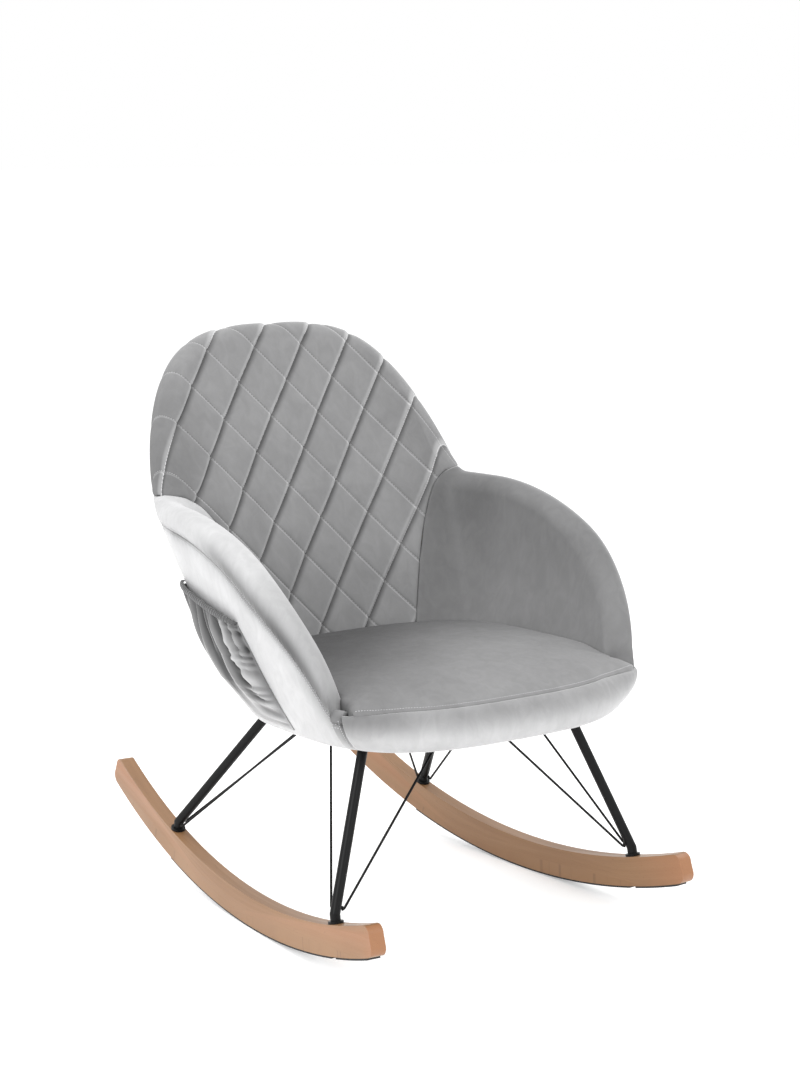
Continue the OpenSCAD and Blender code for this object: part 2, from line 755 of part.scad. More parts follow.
right() pocket();  // right_pocket
pocket();  // left_pocket
right() pocket_hem();  // right_pocket_hem
pocket_hem();  // left_pocket_hem
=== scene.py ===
"""Looks of an upholstered rocking chair: velvet tub shell, steel legs and braces, beech rockers."""

import logging
import math
from dataclasses import dataclass, field
from enum import Enum
from typing import Callable, Iterable, Sequence

import bmesh
import bpy
import numpy as np
from mathutils import Matrix, Vector
from mathutils.bvhtree import BVHTree


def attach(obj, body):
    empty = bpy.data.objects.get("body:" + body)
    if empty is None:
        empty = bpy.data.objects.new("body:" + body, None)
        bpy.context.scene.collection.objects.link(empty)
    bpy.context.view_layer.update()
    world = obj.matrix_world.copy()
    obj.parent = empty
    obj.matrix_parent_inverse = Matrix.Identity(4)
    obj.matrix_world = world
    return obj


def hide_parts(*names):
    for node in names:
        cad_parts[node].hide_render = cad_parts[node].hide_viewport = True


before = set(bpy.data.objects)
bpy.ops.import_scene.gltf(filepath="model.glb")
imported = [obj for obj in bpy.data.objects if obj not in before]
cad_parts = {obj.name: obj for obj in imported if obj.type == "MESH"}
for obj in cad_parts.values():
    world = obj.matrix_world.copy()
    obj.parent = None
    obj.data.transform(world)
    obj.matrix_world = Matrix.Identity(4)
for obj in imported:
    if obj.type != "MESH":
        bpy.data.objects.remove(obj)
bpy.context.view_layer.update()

logging.basicConfig(level=logging.INFO, format="%(message)s")
log = logging.getLogger("rocking_chair")
MM = 0.001
SIDES = {-1: "right", 1: "left"}  # the sitter's sides
MIX_COLOUR_INPUTS = (0, 6, 7)  # a Mix node's share and its two colours
MIX_COLOUR_OUTPUT = 2


# ---- shader maths ---------------------------------------------------------


class Socket:
    """One output of a shader node, with arithmetic that adds Math nodes."""

    def __init__(self, shader: "Shader", link: bpy.types.NodeSocket) -> None:
        """Wraps a node's output socket.

        Args:
            shader: The material that the node is in.
            link: The output socket.
        """
        self.shader = shader
        self.link = link

    def _math(self, operation: str, *values: "Socket | float") -> "Socket":
        """Adds a Math node.

        Args:
            operation: The node's operation.
            values: Its inputs in order.

        Returns:
            The node's result.
        """
        return self.shader.node("Math", {"operation": operation}, dict(enumerate(values)))

    def __add__(self, other: "Socket | float") -> "Socket":
        """Sum of two values."""
        return self._math("ADD", self, other)

    __radd__ = __add__

    def __sub__(self, other: "Socket | float") -> "Socket":
        """Difference of two values."""
        return self._math("SUBTRACT", self, other)

    def __rsub__(self, other: float) -> "Socket":
        """Difference, reflected."""
        return self._math("SUBTRACT", other, self)

    def __mul__(self, other: "Socket | float") -> "Socket":
        """Product of two values."""
        return self._math("MULTIPLY", self, other)

    __rmul__ = __mul__

    def __truediv__(self, other: "Socket | float") -> "Socket":
        """Quotient of two values."""
        return self._math("DIVIDE", self, other)

    def __rtruediv__(self, other: float) -> "Socket":
        """Quotient, reflected."""
        return self._math("DIVIDE", other, self)

    def __pow__(self, other: float) -> "Socket":
        """A value raised to a power."""
        return self._math("POWER", self, other)

    def __neg__(self) -> "Socket":
        """The value with its sign changed."""
        return self._math("MULTIPLY", self, -1.0)

    def __abs__(self) -> "Socket":
        """The value without its sign."""
        return self._math("ABSOLUTE", self)

    def fract(self) -> "Socket":
        """The part after the decimal point."""
        return self._math("FRACT", self)

    def sine(self) -> "Socket":
        """The sine of the value in radians."""
        return self._math("SINE", self)

    def least(self, other: "Socket | float") -> "Socket":
        """The smaller of two values."""
        return self._math("MINIMUM", self, other)

    def most(self, other: "Socket | float") -> "Socket":
        """The larger of two values."""
        return self._math("MAXIMUM", self, other)

    def fade(self, start: float, end: float) -> "Socket":
        """A smooth step.

        Args:
            start: The value that gives 0.
            end: The value that gives 1.

        Returns:
            The value between them, smoothed and clamped.
        """
        return self.shader.node(
            "MapRange",
            {"interpolation_type": "SMOOTHSTEP"},
            {"Value": self, "From Min": start, "From Max": end, "To Min": 0.0, "To Max": 1.0},
        )


class Shader:
    """A material under construction."""

    def __init__(self, name: str) -> None:
        """Makes an empty material with a Principled shader.

        Args:
            name: The material's name.
        """
        self.material = bpy.data.materials.new(name)
        self.material.use_nodes = True
        self.tree = self.material.node_tree
        self.tree.nodes.clear()
        self.out = self.tree.nodes.new("ShaderNodeOutputMaterial")
        self.skin = self.tree.nodes.new("ShaderNodeBsdfPrincipled")
        self.tree.links.new(self.skin.outputs[0], self.out.inputs["Surface"])

    def _put(self, socket: bpy.types.NodeSocket, value: object) -> None:
        """Links or sets one input.

        Args:
            socket: The input.
            value: A Socket, a number, or a tuple.
        """
        if isinstance(value, Socket):
            self.tree.links.new(value.link, socket)
        elif socket.type == "RGBA" and len(value) == 3:
            socket.default_value = (*value, 1.0)
        else:
            socket.default_value = value

    def node(
        self,
        kind: str,
        settings: dict[str, object] | None = None,
        inputs: dict[object, object] | None = None,
        output: str | int = 0,
    ) -> Socket:
        """Adds any node.

        Args:
            kind: The node's type without its ShaderNode prefix.
            settings: Its properties, set first; a ramp's stops are (place, colour) pairs.
            inputs: Values or links of its sockets, by name or number.
            output: The output that is wanted.

        Returns:
            That output.
        """
        made = self.tree.nodes.new("ShaderNode" + kind)
        for key, value in (settings or {}).items():
            if key == "stops":
                ramp = made.color_ramp
                while len(ramp.elements) < len(value):
                    ramp.elements.new(1.0)
                for stop, (place, colour) in zip(ramp.elements, value):
                    stop.position, stop.color = place, (*colour, 1.0)
            else:
                setattr(made, key, value)
        for key, value in (inputs or {}).items():
            self._put(made.inputs[key], value)
        return Socket(self, made.outputs[output])

    def place(self, scale: Sequence[float] = (1, 1, 1), turn: Sequence[float] = (0, 0, 0)) -> Socket:
        """Object coordinates, stretched and turned.

        Args:
            scale: Scale along each axis.
            turn: Turn about each axis, in radians.

        Returns:
            The coordinates.
        """
        at = self.node("TexCoord", output="Object")
        return self.node("Mapping", None, {"Vector": at, "Scale": tuple(scale), "Rotation": tuple(turn)})

    def noise(
        self,
        scale: float,
        detail: float = 2.0,
        rough: float = 0.5,
        at: Socket | None = None,
        warp: float = 0.0,
    ) -> Socket:
        """A noise texture's value.

        Args:
            scale: The noise's scale, per metre.
            detail: Its octaves.
            rough: Its roughness.
            at: Where it is read, or None for plain Object coordinates.
            warp: Its distortion.

        Returns:
            A value from 0 to 1.
        """
        return self.node(
            "TexNoise",
            None,
            {
                "Vector": at or self.place(),
                "Scale": scale,
                "Detail": detail,
                "Roughness": rough,
                "Distortion": warp,
            },
        )

    def attribute(self, name: str) -> Socket:
        """A number stored on the mesh's points."""
        return self.node("Attribute", {"attribute_name": name}, output="Fac")

    def joined(self, x: Socket, y: Socket, z: Socket) -> Socket:
        """Three numbers as a vector."""
        return self.node("CombineXYZ", None, {0: x, 1: y, 2: z})

    def ribs(self, axis: str, rate: float) -> Socket:
        """Even ribs across an axis, from 0 to 1, at a rate in radians per metre."""
        return (self.node("SeparateXYZ", None, {"Vector": self.place()}, axis) * rate).sine() * 0.5 + 0.5

    def mix(self, share: "Socket | float", low: object, high: object) -> Socket:
        """Mixes two colours.

        Args:
            share: How much of the second one shows.
            low: First colour.
            high: Second colour.

        Returns:
            The mixed colour.
        """
        made = self.tree.nodes.new("ShaderNodeMix")
        made.data_type = "RGBA"
        for number, value in zip(MIX_COLOUR_INPUTS, (share, low, high)):
            self._put(made.inputs[number], value)
        return Socket(self, made.outputs[MIX_COLOUR_OUTPUT])

    def bump(self, height: Socket, strength: float, depth: float) -> None:
        """Feeds a height into the surface's normal.

        Args:
            height: The height, from 0 to 1.
            strength: The bump's strength.
            depth: The height of a full step, in metres.
        """
        made = self.node("Bump", None, {"Height": height, "Strength": strength, "Distance": depth})
        self._put(self.skin.inputs["Normal"], made)

    def surface(self, **values: object) -> bpy.types.Material:
        """Sets the Principled shader's sockets.

        Args:
            values: Values or links by socket name, with _ for a space.

        Returns:
            The finished material.
        """
        for key, value in values.items():
            self._put(self.skin.inputs[key.replace("_", " ")], value)
        return self.material


# ---- finishes ---------------------------------------------------------------


class Stitching(Enum):
    """Where a velvet piece has sewn lines that its material draws."""

    NONE = "none"
    DIAMONDS = "diamonds"


@dataclass(frozen=True)
class Velvet:
    """Short-pile velvet, with brushed patches and a soft sheen; its base colour is painted light and shade,
    stored on each point.

    Attributes:
        name: The material's name.
        sheen: Strength of the sheen.
        rough: Roughness of the pile, before its patches change it.
        mottle: Strength of the brushed patches.
        stitching: The sewn lines that it has.
        diamond_side: Distance between parallel seams, in millimetres.
        stitch_pitch: Distance from one stitch to the next.
    """

    name: str
    sheen: float = 0.5
    rough: float = 0.60
    mottle: float = 0.26
    stitching: Stitching = Stitching.NONE
    diamond_side: float = 71.5
    stitch_pitch: float = 4.6

    def make(self) -> bpy.types.Material:
        """Builds the material.

        Returns:
            The material.
        """
        s = Shader(self.name)
        clouds = s.noise(11.0, 3.0, 0.55, warp=0.5).fade(0.25, 0.75)
        brushed = s.noise(48.0, 4.0, 0.6, s.place((1.0, 1.0, 0.5), (0.0, 0.3, 0.5)), 1.0).fade(0.30, 0.72)
        specks = s.noise(1500.0, 2.0, 0.6)
        fine = s.noise(420.0, 3.0, 0.6)
        patches = clouds * 0.40 + brushed * 0.38 + fine * 0.22
        # Base colour: the painted light and shade stored on each point, varied by the brushed patches.
        tone = s.attribute("nap") * (1.0 + (patches - 0.5) * self.mottle)
        height = specks * 0.6 + fine * 0.4
        if self.stitching is Stitching.DIAMONDS:
            tone, height = self._sewn(s, tone, height)
        s.bump(height, 0.30, 0.0005)
        return s.surface(
            Base_Color=s.mix(tone.most(0.0).least(1.0), (0.0, 0.0, 0.0), (1.0, 1.0, 1.008)),
            Roughness=self.rough + 0.08 - 0.12 * patches,
            Sheen_Weight=self.sheen,
            Sheen_Roughness=0.34,
            Sheen_Tint=(0.96, 0.96, 0.97, 1.0),
            Specular_IOR_Level=0.18,
        )

    def _sewn(self, s: Shader, tone: Socket, height: Socket) -> tuple[Socket, Socket]:
        """Adds the threads, and painted highlights and painted shade along the diamonds' seams.

        Args:
            s: The material.
            tone: The painted light and shade so far.
            height: The pile's height so far.

        Returns:
            The new tone and height.
        """
        steep, shallow = s.attribute("seam_steep"), s.attribute("seam_shallow")
        pitch = self.diamond_side / self.stitch_pitch
        right = steep.fract() * self.diamond_side
        left = self.diamond_side - right
        above = (shallow + 0.5).fract() * self.diamond_side - self.diamond_side / 2
        near_steep, near_shallow = left.least(right), abs(above)
        dash_steep = abs((shallow * pitch).fract() - 0.5).fade(0.44, 0.30)
        dash_shallow = abs((steep * pitch).fract() - 0.5).fade(0.44, 0.30)
        # Painted highlight just left of each steep seam and painted shade right of it; a painted highlight
        # beside each shallow seam and painted shade in the seam.
        tone = tone * (1.0 + 0.85 * left.fade(9.5, 0.8)) * (1.0 - 0.50 * right.fade(11.0, 0.5))
        tone = tone * (1.0 + 0.45 * abs(above - 2.2).fade(2.2, 0.4))
        tone = tone * (1.0 - 0.32 * near_shallow.fade(1.4, 0.5))
        steep_thread = near_steep.fade(1.0, 0.45) * dash_steep
        shallow_thread = near_shallow.fade(0.8, 0.3) * dash_shallow * 0.8
        thread = steep_thread.most(shallow_thread)
        return tone + thread * 0.22, height * (1.0 - 0.6 * near_steep.fade(2.0, 0.3)) + thread * 0.5


@dataclass(frozen=True)
class Thread:
    """Sewing thread.

    Attributes:
        colour: The thread's colour.
    """

    colour: tuple[float, float, float] = (0.55, 0.55, 0.56)

    def make(self) -> bpy.types.Material:
        """Builds the material.

        Returns:
            The material.
        """
        s = Shader("thread")
        twist = s.ribs("Z", 5200.0)
        s.bump(twist, 0.4, 0.0002)
        return s.surface(
            Base_Color=s.mix(twist * 0.35, self.colour, tuple(0.6 * c for c in self.colour)),
            Roughness=0.55,
            Sheen_Weight=0.2,
        )


@dataclass(frozen=True)
class Beech:
    """Steamed beech under a satin lacquer, its grain along the rocker.

    Attributes:
        pale: Colour of the early wood.
        deep: Colour of the late wood and the flecks.
    """

    pale: tuple[float, float, float] = (0.275, 0.144, 0.062)
    deep: tuple[float, float, float] = (0.215, 0.108, 0.046)

    def make(self) -> bpy.types.Material:
        """Builds the material.

        Returns:
            The material.
        """
        s = Shader("beech")
        along, across, side = s.attribute("along"), s.attribute("across"), s.attribute("side")
        at = s.joined(along * 0.035, across, side)
        bands = s.noise(55.0, 3.0, 0.55, at, 0.7).fade(0.32, 0.70)
        lines = s.noise(420.0, 2.0, 0.6, at).fade(0.42, 0.66)
        flecks = s.noise(900.0, 1.0, 0.5, s.joined(along * 0.16, across, side)).fade(0.66, 0.74)
        broad = s.noise(9.0, 2.0, 0.5, s.joined(along * 0.5, across * 0.6, side))
        share = bands * 0.40 + lines * 0.20 + broad.fade(0.35, 0.70) * 0.40
        colour = s.mix(share, self.pale, self.deep)
        colour = s.mix(flecks * 0.35, colour, tuple(0.55 * c for c in self.deep))
        end = s.attribute("end_grain")
        pores = s.noise(1600.0, 2.0, 0.6).fade(0.5, 0.7)
        colour = s.mix(end * 0.55, colour, s.mix(pores, (0.36, 0.15, 0.065), (0.24, 0.09, 0.04)))
        s.bump(lines * 0.6 + flecks * 0.4, 0.12, 0.0004)
        return s.surface(
            Base_Color=colour,
            Roughness=0.40 + 0.12 * bands,
            Coat_Weight=0.18,
            Coat_Roughness=0.25,
            Specular_IOR_Level=0.45,
        )


@dataclass(frozen=True)
class PowderCoat:
    """Satin black powder coat with a faint orange peel and rubbed spots.

    Attributes:
        colour: The coat's colour.
    """

    colour: tuple[float, float, float] = (0.007, 0.007, 0.0073)

    def make(self) -> bpy.types.Material:
        """Builds the material.

        Returns:
            The material.
        """
        s = Shader("powder_coat")
        peel = s.noise(900.0, 2.0, 0.5)
        wear = s.noise(40.0, 4.0, 0.6).fade(0.55, 0.78)
        s.bump(peel, 0.18, 0.0003)
        return s.surface(
            Base_Color=s.mix(wear * 0.5, self.colour, tuple(2.2 * c for c in self.colour)),
            Roughness=0.36 + 0.14 * wear + 0.05 * peel,
            Specular_IOR_Level=0.14,
        )


@dataclass(frozen=True)
class GripRubber:
    """Black anti-slip strip with fine ribs."""

    def make(self) -> bpy.types.Material:
        """Builds the material.

        Returns:
            The material.
        """
        s = Shader("grip_rubber")
        rib = s.ribs("X", 4000.0)
        dust = s.noise(220.0, 4.0, 0.65).fade(0.5, 0.8)
        s.bump(rib, 0.3, 0.0004)
        return s.surface(
            Base_Color=s.mix(dust * 0.6, (0.013, 0.013, 0.014), (0.05, 0.048, 0.045)),
            Roughness=0.72 + 0.14 * dust,
        )


@dataclass(frozen=True)
class ZincSteel:
    """Zinc-plated screws."""

    def make(self) -> bpy.types.Material:
        """Builds the material.

        Returns:
            The material.
        """
        s = Shader("zinc_steel")
        spangle = s.noise(700.0, 3.0, 0.5).fade(0.35, 0.7)
        s.bump(spangle, 0.1, 0.0002)
        return s.surface(
            Base_Color=s.mix(spangle, (0.55, 0.56, 0.58), (0.72, 0.72, 0.70)),
            Metallic=1.0,
            Roughness=0.30 + 0.16 * spangle,
        )


@dataclass(frozen=True)
class SheetWood:
    """Bare plywood of the seat board and the moulded panels.

    Attributes:
        name: The material's name.
    """

    name: str

    def make(self) -> bpy.types.Material:
        """Builds the material.

        Returns:
            The material.
        """
        s = Shader(self.name)
        grain = s.noise(60.0, 4.0, 0.6, s.place((1.0, 0.05, 1.0)), 0.8).fade(0.35, 0.68)
        layers = s.ribs("Z", 2300.0)
        s.bump(grain, 0.2, 0.0005)
        colour = s.mix(grain, (0.62, 0.44, 0.26), (0.45, 0.29, 0.15))
        return s.surface(
            Base_Color=s.mix(layers * 0.15, colour, (0.30, 0.18, 0.09)),
            Roughness=0.6 + 0.1 * grain,
        )


@dataclass(frozen=True)
class BlackCloth:
    """Non-woven dust cover under the seat."""

    def make(self) -> bpy.types.Material:
        """Builds the material.

        Returns:
            The material.
        """
        s = Shader("black_cloth")
        fibre = s.noise(700.0, 4.0, 0.7, warp=2.0)
        dots = s.node("TexVoronoi", {"feature": "F1"}, {"Vector": s.place(), "Scale": 420.0}).fade(0.35, 0.15)
        s.bump(fibre * 0.6 - dots * 0.4, 0.5, 0.0005)
        return s.surface(
            Base_Color=s.mix(fibre, (0.012, 0.012, 0.013), (0.035, 0.035, 0.036)),
            Roughness=0.82 + 0.08 * fibre,
        )


@dataclass(frozen=True)
class PaleFloor:
    """Plain pale studio floor."""

    def make(self) -> bpy.types.Material:
        """Builds the material.

        Returns:
            The material.
        """
        s = Shader("studio_floor")
        return s.surface(
            Base_Color=s.mix(s.noise(3.0, 2.0), (0.86, 0.86, 0.86), (0.88, 0.88, 0.88)),
            Roughness=0.8,
            Specular_IOR_Level=0.0,
            Emission_Color=(1.0, 1.0, 1.0, 1.0),
            Emission_Strength=0.30,
        )


class Finish(Enum):
    """Every finish on the chair."""

    BEECH = Beech()
    GRIP_RUBBER = GripRubber()
    ZINC_STEEL = ZincSteel()
    BLACK_STEEL = PowderCoat()
    PLYWOOD = SheetWood("plywood")
    SHELL_PANEL = SheetWood("shell_panel")
    BLACK_CLOTH = BlackCloth()
    THREAD = Thread()
    FLOOR = PaleFloor()
    VELVET = Velvet("velvet")
    SEAT_VELVET = Velvet("seat_velvet", sheen=0.12)
    QUILTED_VELVET = Velvet("quilted_velvet", stitching=Stitching.DIAMONDS)
    POCKET_VELVET = Velvet("pocket_velvet", sheen=0.7, rough=0.42, mottle=0.2)

    def material(self) -> bpy.types.Material:
        """The finish's material, made once.

        Returns:
            The material.
        """
        if self not in _made:
            _made[self] = self.value.make()
        return _made[self]


_made: dict[Finish, bpy.types.Material] = {}


# ---- mesh helpers -------------------------------------------------------------


def spots(verts: Iterable[object]) -> np.ndarray:
    """Where a mesh's points are."""
    return np.array([vert.co for vert in verts])


def move(made: bmesh.types.BMesh, points: np.ndarray) -> None:
    """Moves a mesh's points to places in millimetres."""
    for vert, point in zip(made.verts, points * MM):
        vert.co = point


def relax(made: bmesh.types.BMesh) -> None:
    """Evens out a mesh's points by one step.

    Args:
        made: The mesh.
    """
    bmesh.ops.smooth_vert(
        made, verts=made.verts, factor=0.5, use_axis_x=True, use_axis_y=True, use_axis_z=True
    )


def sided(points: np.ndarray, hand: int) -> np.ndarray:
    """Points on the sitter's left (1), or mirrored to the right (-1)."""
    return points * np.array([hand, 1, 1])


def show(name: str, data: bpy.types.ID) -> bpy.types.Object:
    """Puts a new object into the scene.

    Args:
        name: The object's name.
        data: Its mesh, light or camera.

    Returns:
        The object.
    """
    made = bpy.data.objects.new(name, data)
    bpy.context.scene.collection.objects.link(made)
    return made


def grid(
    across: int, up: int, shape: Callable[[np.ndarray, np.ndarray], np.ndarray], wrap: bool = False
) -> bmesh.types.BMesh:
    """A grid whose points are moved to where a shape says.

    Args:
        across: Cells in the first direction.
        up: Cells in the second direction.
        shape: Gives points in millimetres for two arrays from 0 to 1.
        wrap: Whether the second direction closes on itself.

    Returns:
        The mesh, in metres.
    """
    made = bmesh.new()
    bmesh.ops.create_grid(made, x_segments=across, y_segments=up, size=1.0)
    made.verts.ensure_lookup_table()
    flat = (spots(made.verts) + 1) / 2
    move(made, shape(flat[:, 0], flat[:, 1]))
    if wrap:
        bmesh.ops.remove_doubles(made, verts=made.verts, dist=1e-6)
    return made


def store(made: bmesh.types.BMesh, name: str, values: Iterable[float]) -> None:
    """Keeps a number for each point, for the material.

    Args:
        made: The mesh.
        name: The number's name.
        values: One number a point, in the points' order.
    """
    layer = made.verts.layers.float.new(name)
    for vert, value in zip(made.verts, values):
        vert[layer] = float(value)


def nap(made: bmesh.types.BMesh, tone: Callable[[np.ndarray], np.ndarray]) -> None:
    """Keeps the painted light and shade on the velvet at each point.

    Args:
        made: The mesh, in metres.
        tone: Gives the painted lightness for an array of points in millimetres.
    """
    store(made, "nap", tone(spots(made.verts) / MM))


def piece(
    made: bmesh.types.BMesh, name: str, finish: Finish, slot: str, nodes: Sequence[str] = ()
) -> bpy.types.Object:
    """Finishes a mesh as a piece of the chair.

    Args:
        made: The mesh, in metres.
        name: The piece's name.
        finish: Its finish.
        slot: Not used.
        nodes: CAD nodes that it stands for.

    Returns:
        The piece.
    """
    mesh = bpy.data.meshes.new(name)
    made.to_mesh(mesh)
    made.free()
    mesh.shade_smooth()
    mesh.materials.append(finish.material())
    made_object = show(name, mesh)
    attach(made_object, "root")
    if nodes:
        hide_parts(*nodes)
    log.info("%s: %d faces", name, len(mesh.polygons))
    return made_object


def skin(
    across: int,
    up: int,
    shape: Callable[[np.ndarray, np.ndarray, float], np.ndarray],
    depth: float,
    coarser: int = 1,
) -> bmesh.types.BMesh:
    """A closed skin with a front and a back, joined all round.

    Args:
        across: Cells in the first direction.
        up: Cells in the second direction.
        shape: Gives points in millimetres for two arrays from 0 to 1 and a depth, 0 at the front.
        depth: How far the back lies behind the front, in millimetres.
        coarser: How many times fewer cells the back has in each direction.

    Returns:
        The mesh, in metres, with the front's points first.
    """
    made = grid(across, up, lambda u, v: shape(u, v, 0.0))
    back = grid(across // coarser, up // coarser, lambda u, v: shape(u, v, depth))
    carrier = bpy.data.meshes.new("carrier")
    back.to_mesh(carrier)
    back.free()
    made.from_mesh(carrier)
    bpy.data.meshes.remove(carrier)
    bmesh.ops.bridge_loops(made, edges=[e for e in made.edges if e.is_boundary])
    bmesh.ops.recalc_face_normals(made, faces=made.faces)
    return made


# ---- shape of the tub shell ------------------------------------------------------


def ease(share: np.ndarray) -> np.ndarray:
    """A smooth step from 0 to 1."""
    held = np.clip(share, 0, 1)
    return held * held * (3 - 2 * held)


def fall(distance: np.ndarray, reach: float) -> np.ndarray:
    """1 at a distance of nothing, fading over a reach."""
    return np.exp(-np.abs(distance) / reach)


@dataclass(frozen=True)
class Shell:
    """The shell's curves in millimetres, as the solid model has them.

    An angle is measured in plan from straight back, in degrees; the sitter's left is positive.

    Attributes:
        overall_height: Height of the back's crest.
        overall_width: Width over the rim of the arms.
        back_reach: The rim's reach behind its widest place.
        widest_y: Y of the widest place.
        underside: Height of the lower edge.
        band_depth: Height of the front seat band.
        base_width: Width of the shell's foot.
        base_rear: The foot's reach behind its widest place.
        base_front: The foot's reach in front of it.
        arm_front: The rim's reach in front of its widest place.
        back_wall: Thickness of the wall at the middle of the back.
        arm_wall: Thickness of the wall at the front of an arm.
        top_thinning: How much thinner the wall is at the top.
        arm_rise: Height of the arms' slope above the seat's front seam.
        arm_fall: Length over which that slope comes down.
        slope_start: Y at which the slope begins.
        slope_power: How full the slope's curve is.
        dome_share: Half the dome's width, as a share of the overall width.
        blend_power: How tightly the dome runs into the slope.
        foot_powers: How square the foot's plan is at the back and at the front.
        rim_powers: How square the rim's plan is at the back and at the front.
        arm_end: Angle of an arm's front end.
        back_end: Angle of the joint between the back and an arm, high up.
        back_end_seat: Angle of that joint at the seat.
        bulge: How far the outer face bulges half-way up.
        seam_depth: Depth of the outer seam below the rim, on the back.
        seam_depth_front: Depth of that seam on the arms.
        edge_radius: Radius of the rounded lower edge.
        pad_low: Height of the pads' lower edge.
        seat_crown: Height of the seat's middle above its front seam.
        seat_edge_rise: How much higher the seat's edge is along the walls.
    """

    overall_height: float = 918.0
    overall_width: float = 690.0
    back_reach: float = 478.0
    widest_y: float = -70.0
    underside: float = 336.0
    band_depth: float = 66.0
    base_width: float = 552.0
    base_rear: float = 235.0
    base_front: float = 268.0
    arm_front: float = 310.0
    back_wall: float = 66.0
    arm_wall: float = 46.0
    top_thinning: float = 24.0
    arm_rise: float = 255.0
    arm_fall: float = 400.0
    slope_start: float = 150.0
    slope_power: float = 1.9
    dome_share: float = 0.471
    blend_power: int = 9
    foot_powers: tuple[float, float] = (2.2, 3.0)
    rim_powers: tuple[float, float] = (3.3, 2.3)
    arm_end: float = 127.0
    back_end: float = 55.0
    back_end_seat: float = 30.0
    bulge: float = 9.0
    seam_depth: float = 36.0
    seam_depth_front: float = 58.0
    edge_radius: float = 12.0
    pad_low: float = 378.2
    seat_crown: float = 42.0
    seat_edge_rise: float = 26.0

    @property
    def seam_height(self) -> float:
        """Height of the seat's front seam."""
        return self.underside + self.band_depth

    def oval(
        self, a: np.ndarray, half: float, back: float, front: float, powers: tuple[float, float]
    ) -> tuple[np.ndarray, np.ndarray]:
        """A squared oval in plan.

        Args:
            a: Angles.
            half: Half its width.
            back: Its reach to the back.
            front: Its reach to the front.
            powers: How square its back and its front are.

        Returns:
            Points, and the directions out of the oval there.
        """
        s, c = np.sin(np.radians(a)), np.cos(np.radians(a))
        behind = np.abs(a) < 90
        n, reach = np.where(behind, *powers), np.where(behind, back, front)
        r = (np.abs(s) ** n + np.abs(c) ** n) ** (-1 / n)
        out_x = np.sign(s) * np.abs(r * s) ** (n - 1) / half
        out_y = np.sign(c) * np.abs(r * c) ** (n - 1) / reach
        out = np.stack([out_x, out_y], 1)
        plan = np.stack([half * r * s, self.widest_y + reach * r * c], 1)
        return plan, out / np.linalg.norm(out, axis=1, keepdims=True)

    def foot(self, a: np.ndarray) -> tuple[np.ndarray, np.ndarray]:
        """Plan of the shell at its underside."""
        return self.oval(a, self.base_width / 2, self.base_rear, self.base_front, self.foot_powers)

    def rim(self, a: np.ndarray) -> tuple[np.ndarray, np.ndarray]:
        """Plan of the shell at its rim, which runs into the seat's front seam past the arms.

        Args:
            a: Angles.

        Returns:
            Points, and the directions out of the shell there.
        """
        share = ease((np.abs(a) - self.arm_end) / 18)[:, None]
        high, high_out = self.oval(
            a, self.overall_width / 2, self.back_reach, self.arm_front, self.rim_powers
        )
        low, low_out = self.oval(
            a, self.base_width / 2 + 10, self.base_rear, self.base_front - 8, self.foot_powers
        )
        return high * (1 - share) + low * share, high_out * (1 - share) + low_out * share

    def rim_z(self, a: np.ndarray) -> np.ndarray:
        """Height of the rim, the back's dome blended with the arms' slope.

        Args:
            a: Angles.

        Returns:
            The heights.
        """
        plan = self.rim(a)[0]
        out = np.minimum(1, np.abs(plan[:, 0]) / (self.overall_width * self.dome_share))
        rise = np.clip(1 - out**3, 0, 1) ** (1 / 3)
        dome = np.where(np.abs(a) < 90, (self.overall_height - self.seam_height) * rise, 0)
        u = np.clip((self.slope_start - plan[:, 1]) / self.arm_fall, 0, 1)
        n, blend = self.slope_power, self.blend_power
        slope = self.arm_rise * np.clip(1 - u**n, 0, 1) ** (1 / n)
        return self.seam_height + (dome**blend + slope**blend) ** (1 / blend)

    def wall(self, a: np.ndarray) -> np.ndarray:
        """Thickness of the wall."""
        return self.back_wall + (self.arm_wall - self.back_wall) * np.minimum(1, np.abs(a) / self.arm_end)

    def thin(self, z: np.ndarray) -> np.ndarray:
        """How much thinner the wall is at a height."""
        share = 2 * (z - self.seam_height) / (self.overall_height - self.seam_height) - 1
        return self.top_thinning * np.clip(share, 0, 1)

    def at(self, a: np.ndarray, inwards: np.ndarray, z: np.ndarray) -> np.ndarray:
        """Points in the wall.

        Args:
            a: Angles.
            inwards: Distances inwards from the outer face.
            z: Heights.

        Returns:
            The points.
        """
        f = np.clip((z - self.underside) / (self.rim_z(a) - self.underside), 0, None)
        low, low_out = self.foot(a)
        high, high_out = self.rim(a)
        g = f[:, None]
        out = low_out * (1 - g) + high_out * g
        out /= np.linalg.norm(out, axis=1, keepdims=True)
        d = np.clip(self.edge_radius - (z - self.underside), 0, self.edge_radius)
        rounding = self.edge_radius - np.sqrt(self.edge_radius**2 - d * d)
        depth = inwards + rounding - self.bulge * np.sin(np.pi * np.minimum(1, f))
        plan = low * (1 - g) + high * g - out * depth[:, None]
        return np.column_stack([plan, z])

    def half(self, a: np.ndarray) -> np.ndarray:
        """Half the wall's thickness at the crest."""
        return (self.wall(a) - self.thin(self.rim_z(a))) / 2

    def crest(self, a: np.ndarray) -> np.ndarray:
        """Height of the rounded crest."""
        room = self.rim_z(a) - self.pad_low
        return np.minimum(self.half(a) * (1 + 0.8 * ease((np.abs(a) - 80) / 35)), room * 0.6)

    def seam(self, a: np.ndarray) -> np.ndarray:
        """Depth of the outer seam below the rim.

        Args:
            a: Angles.

        Returns:
            The depths.
        """
        share = ease((np.abs(a) - self.back_end) / 48)
        deep = self.seam_depth + (self.seam_depth_front - self.seam_depth) * share
        return np.minimum(deep, (self.rim_z(a) - self.pad_low) * 0.7)

    def seam_z(self, a: np.ndarray) -> np.ndarray:
        """Height of the outer seam."""
        return self.rim_z(a) - np.maximum(self.seam(a), self.crest(a))

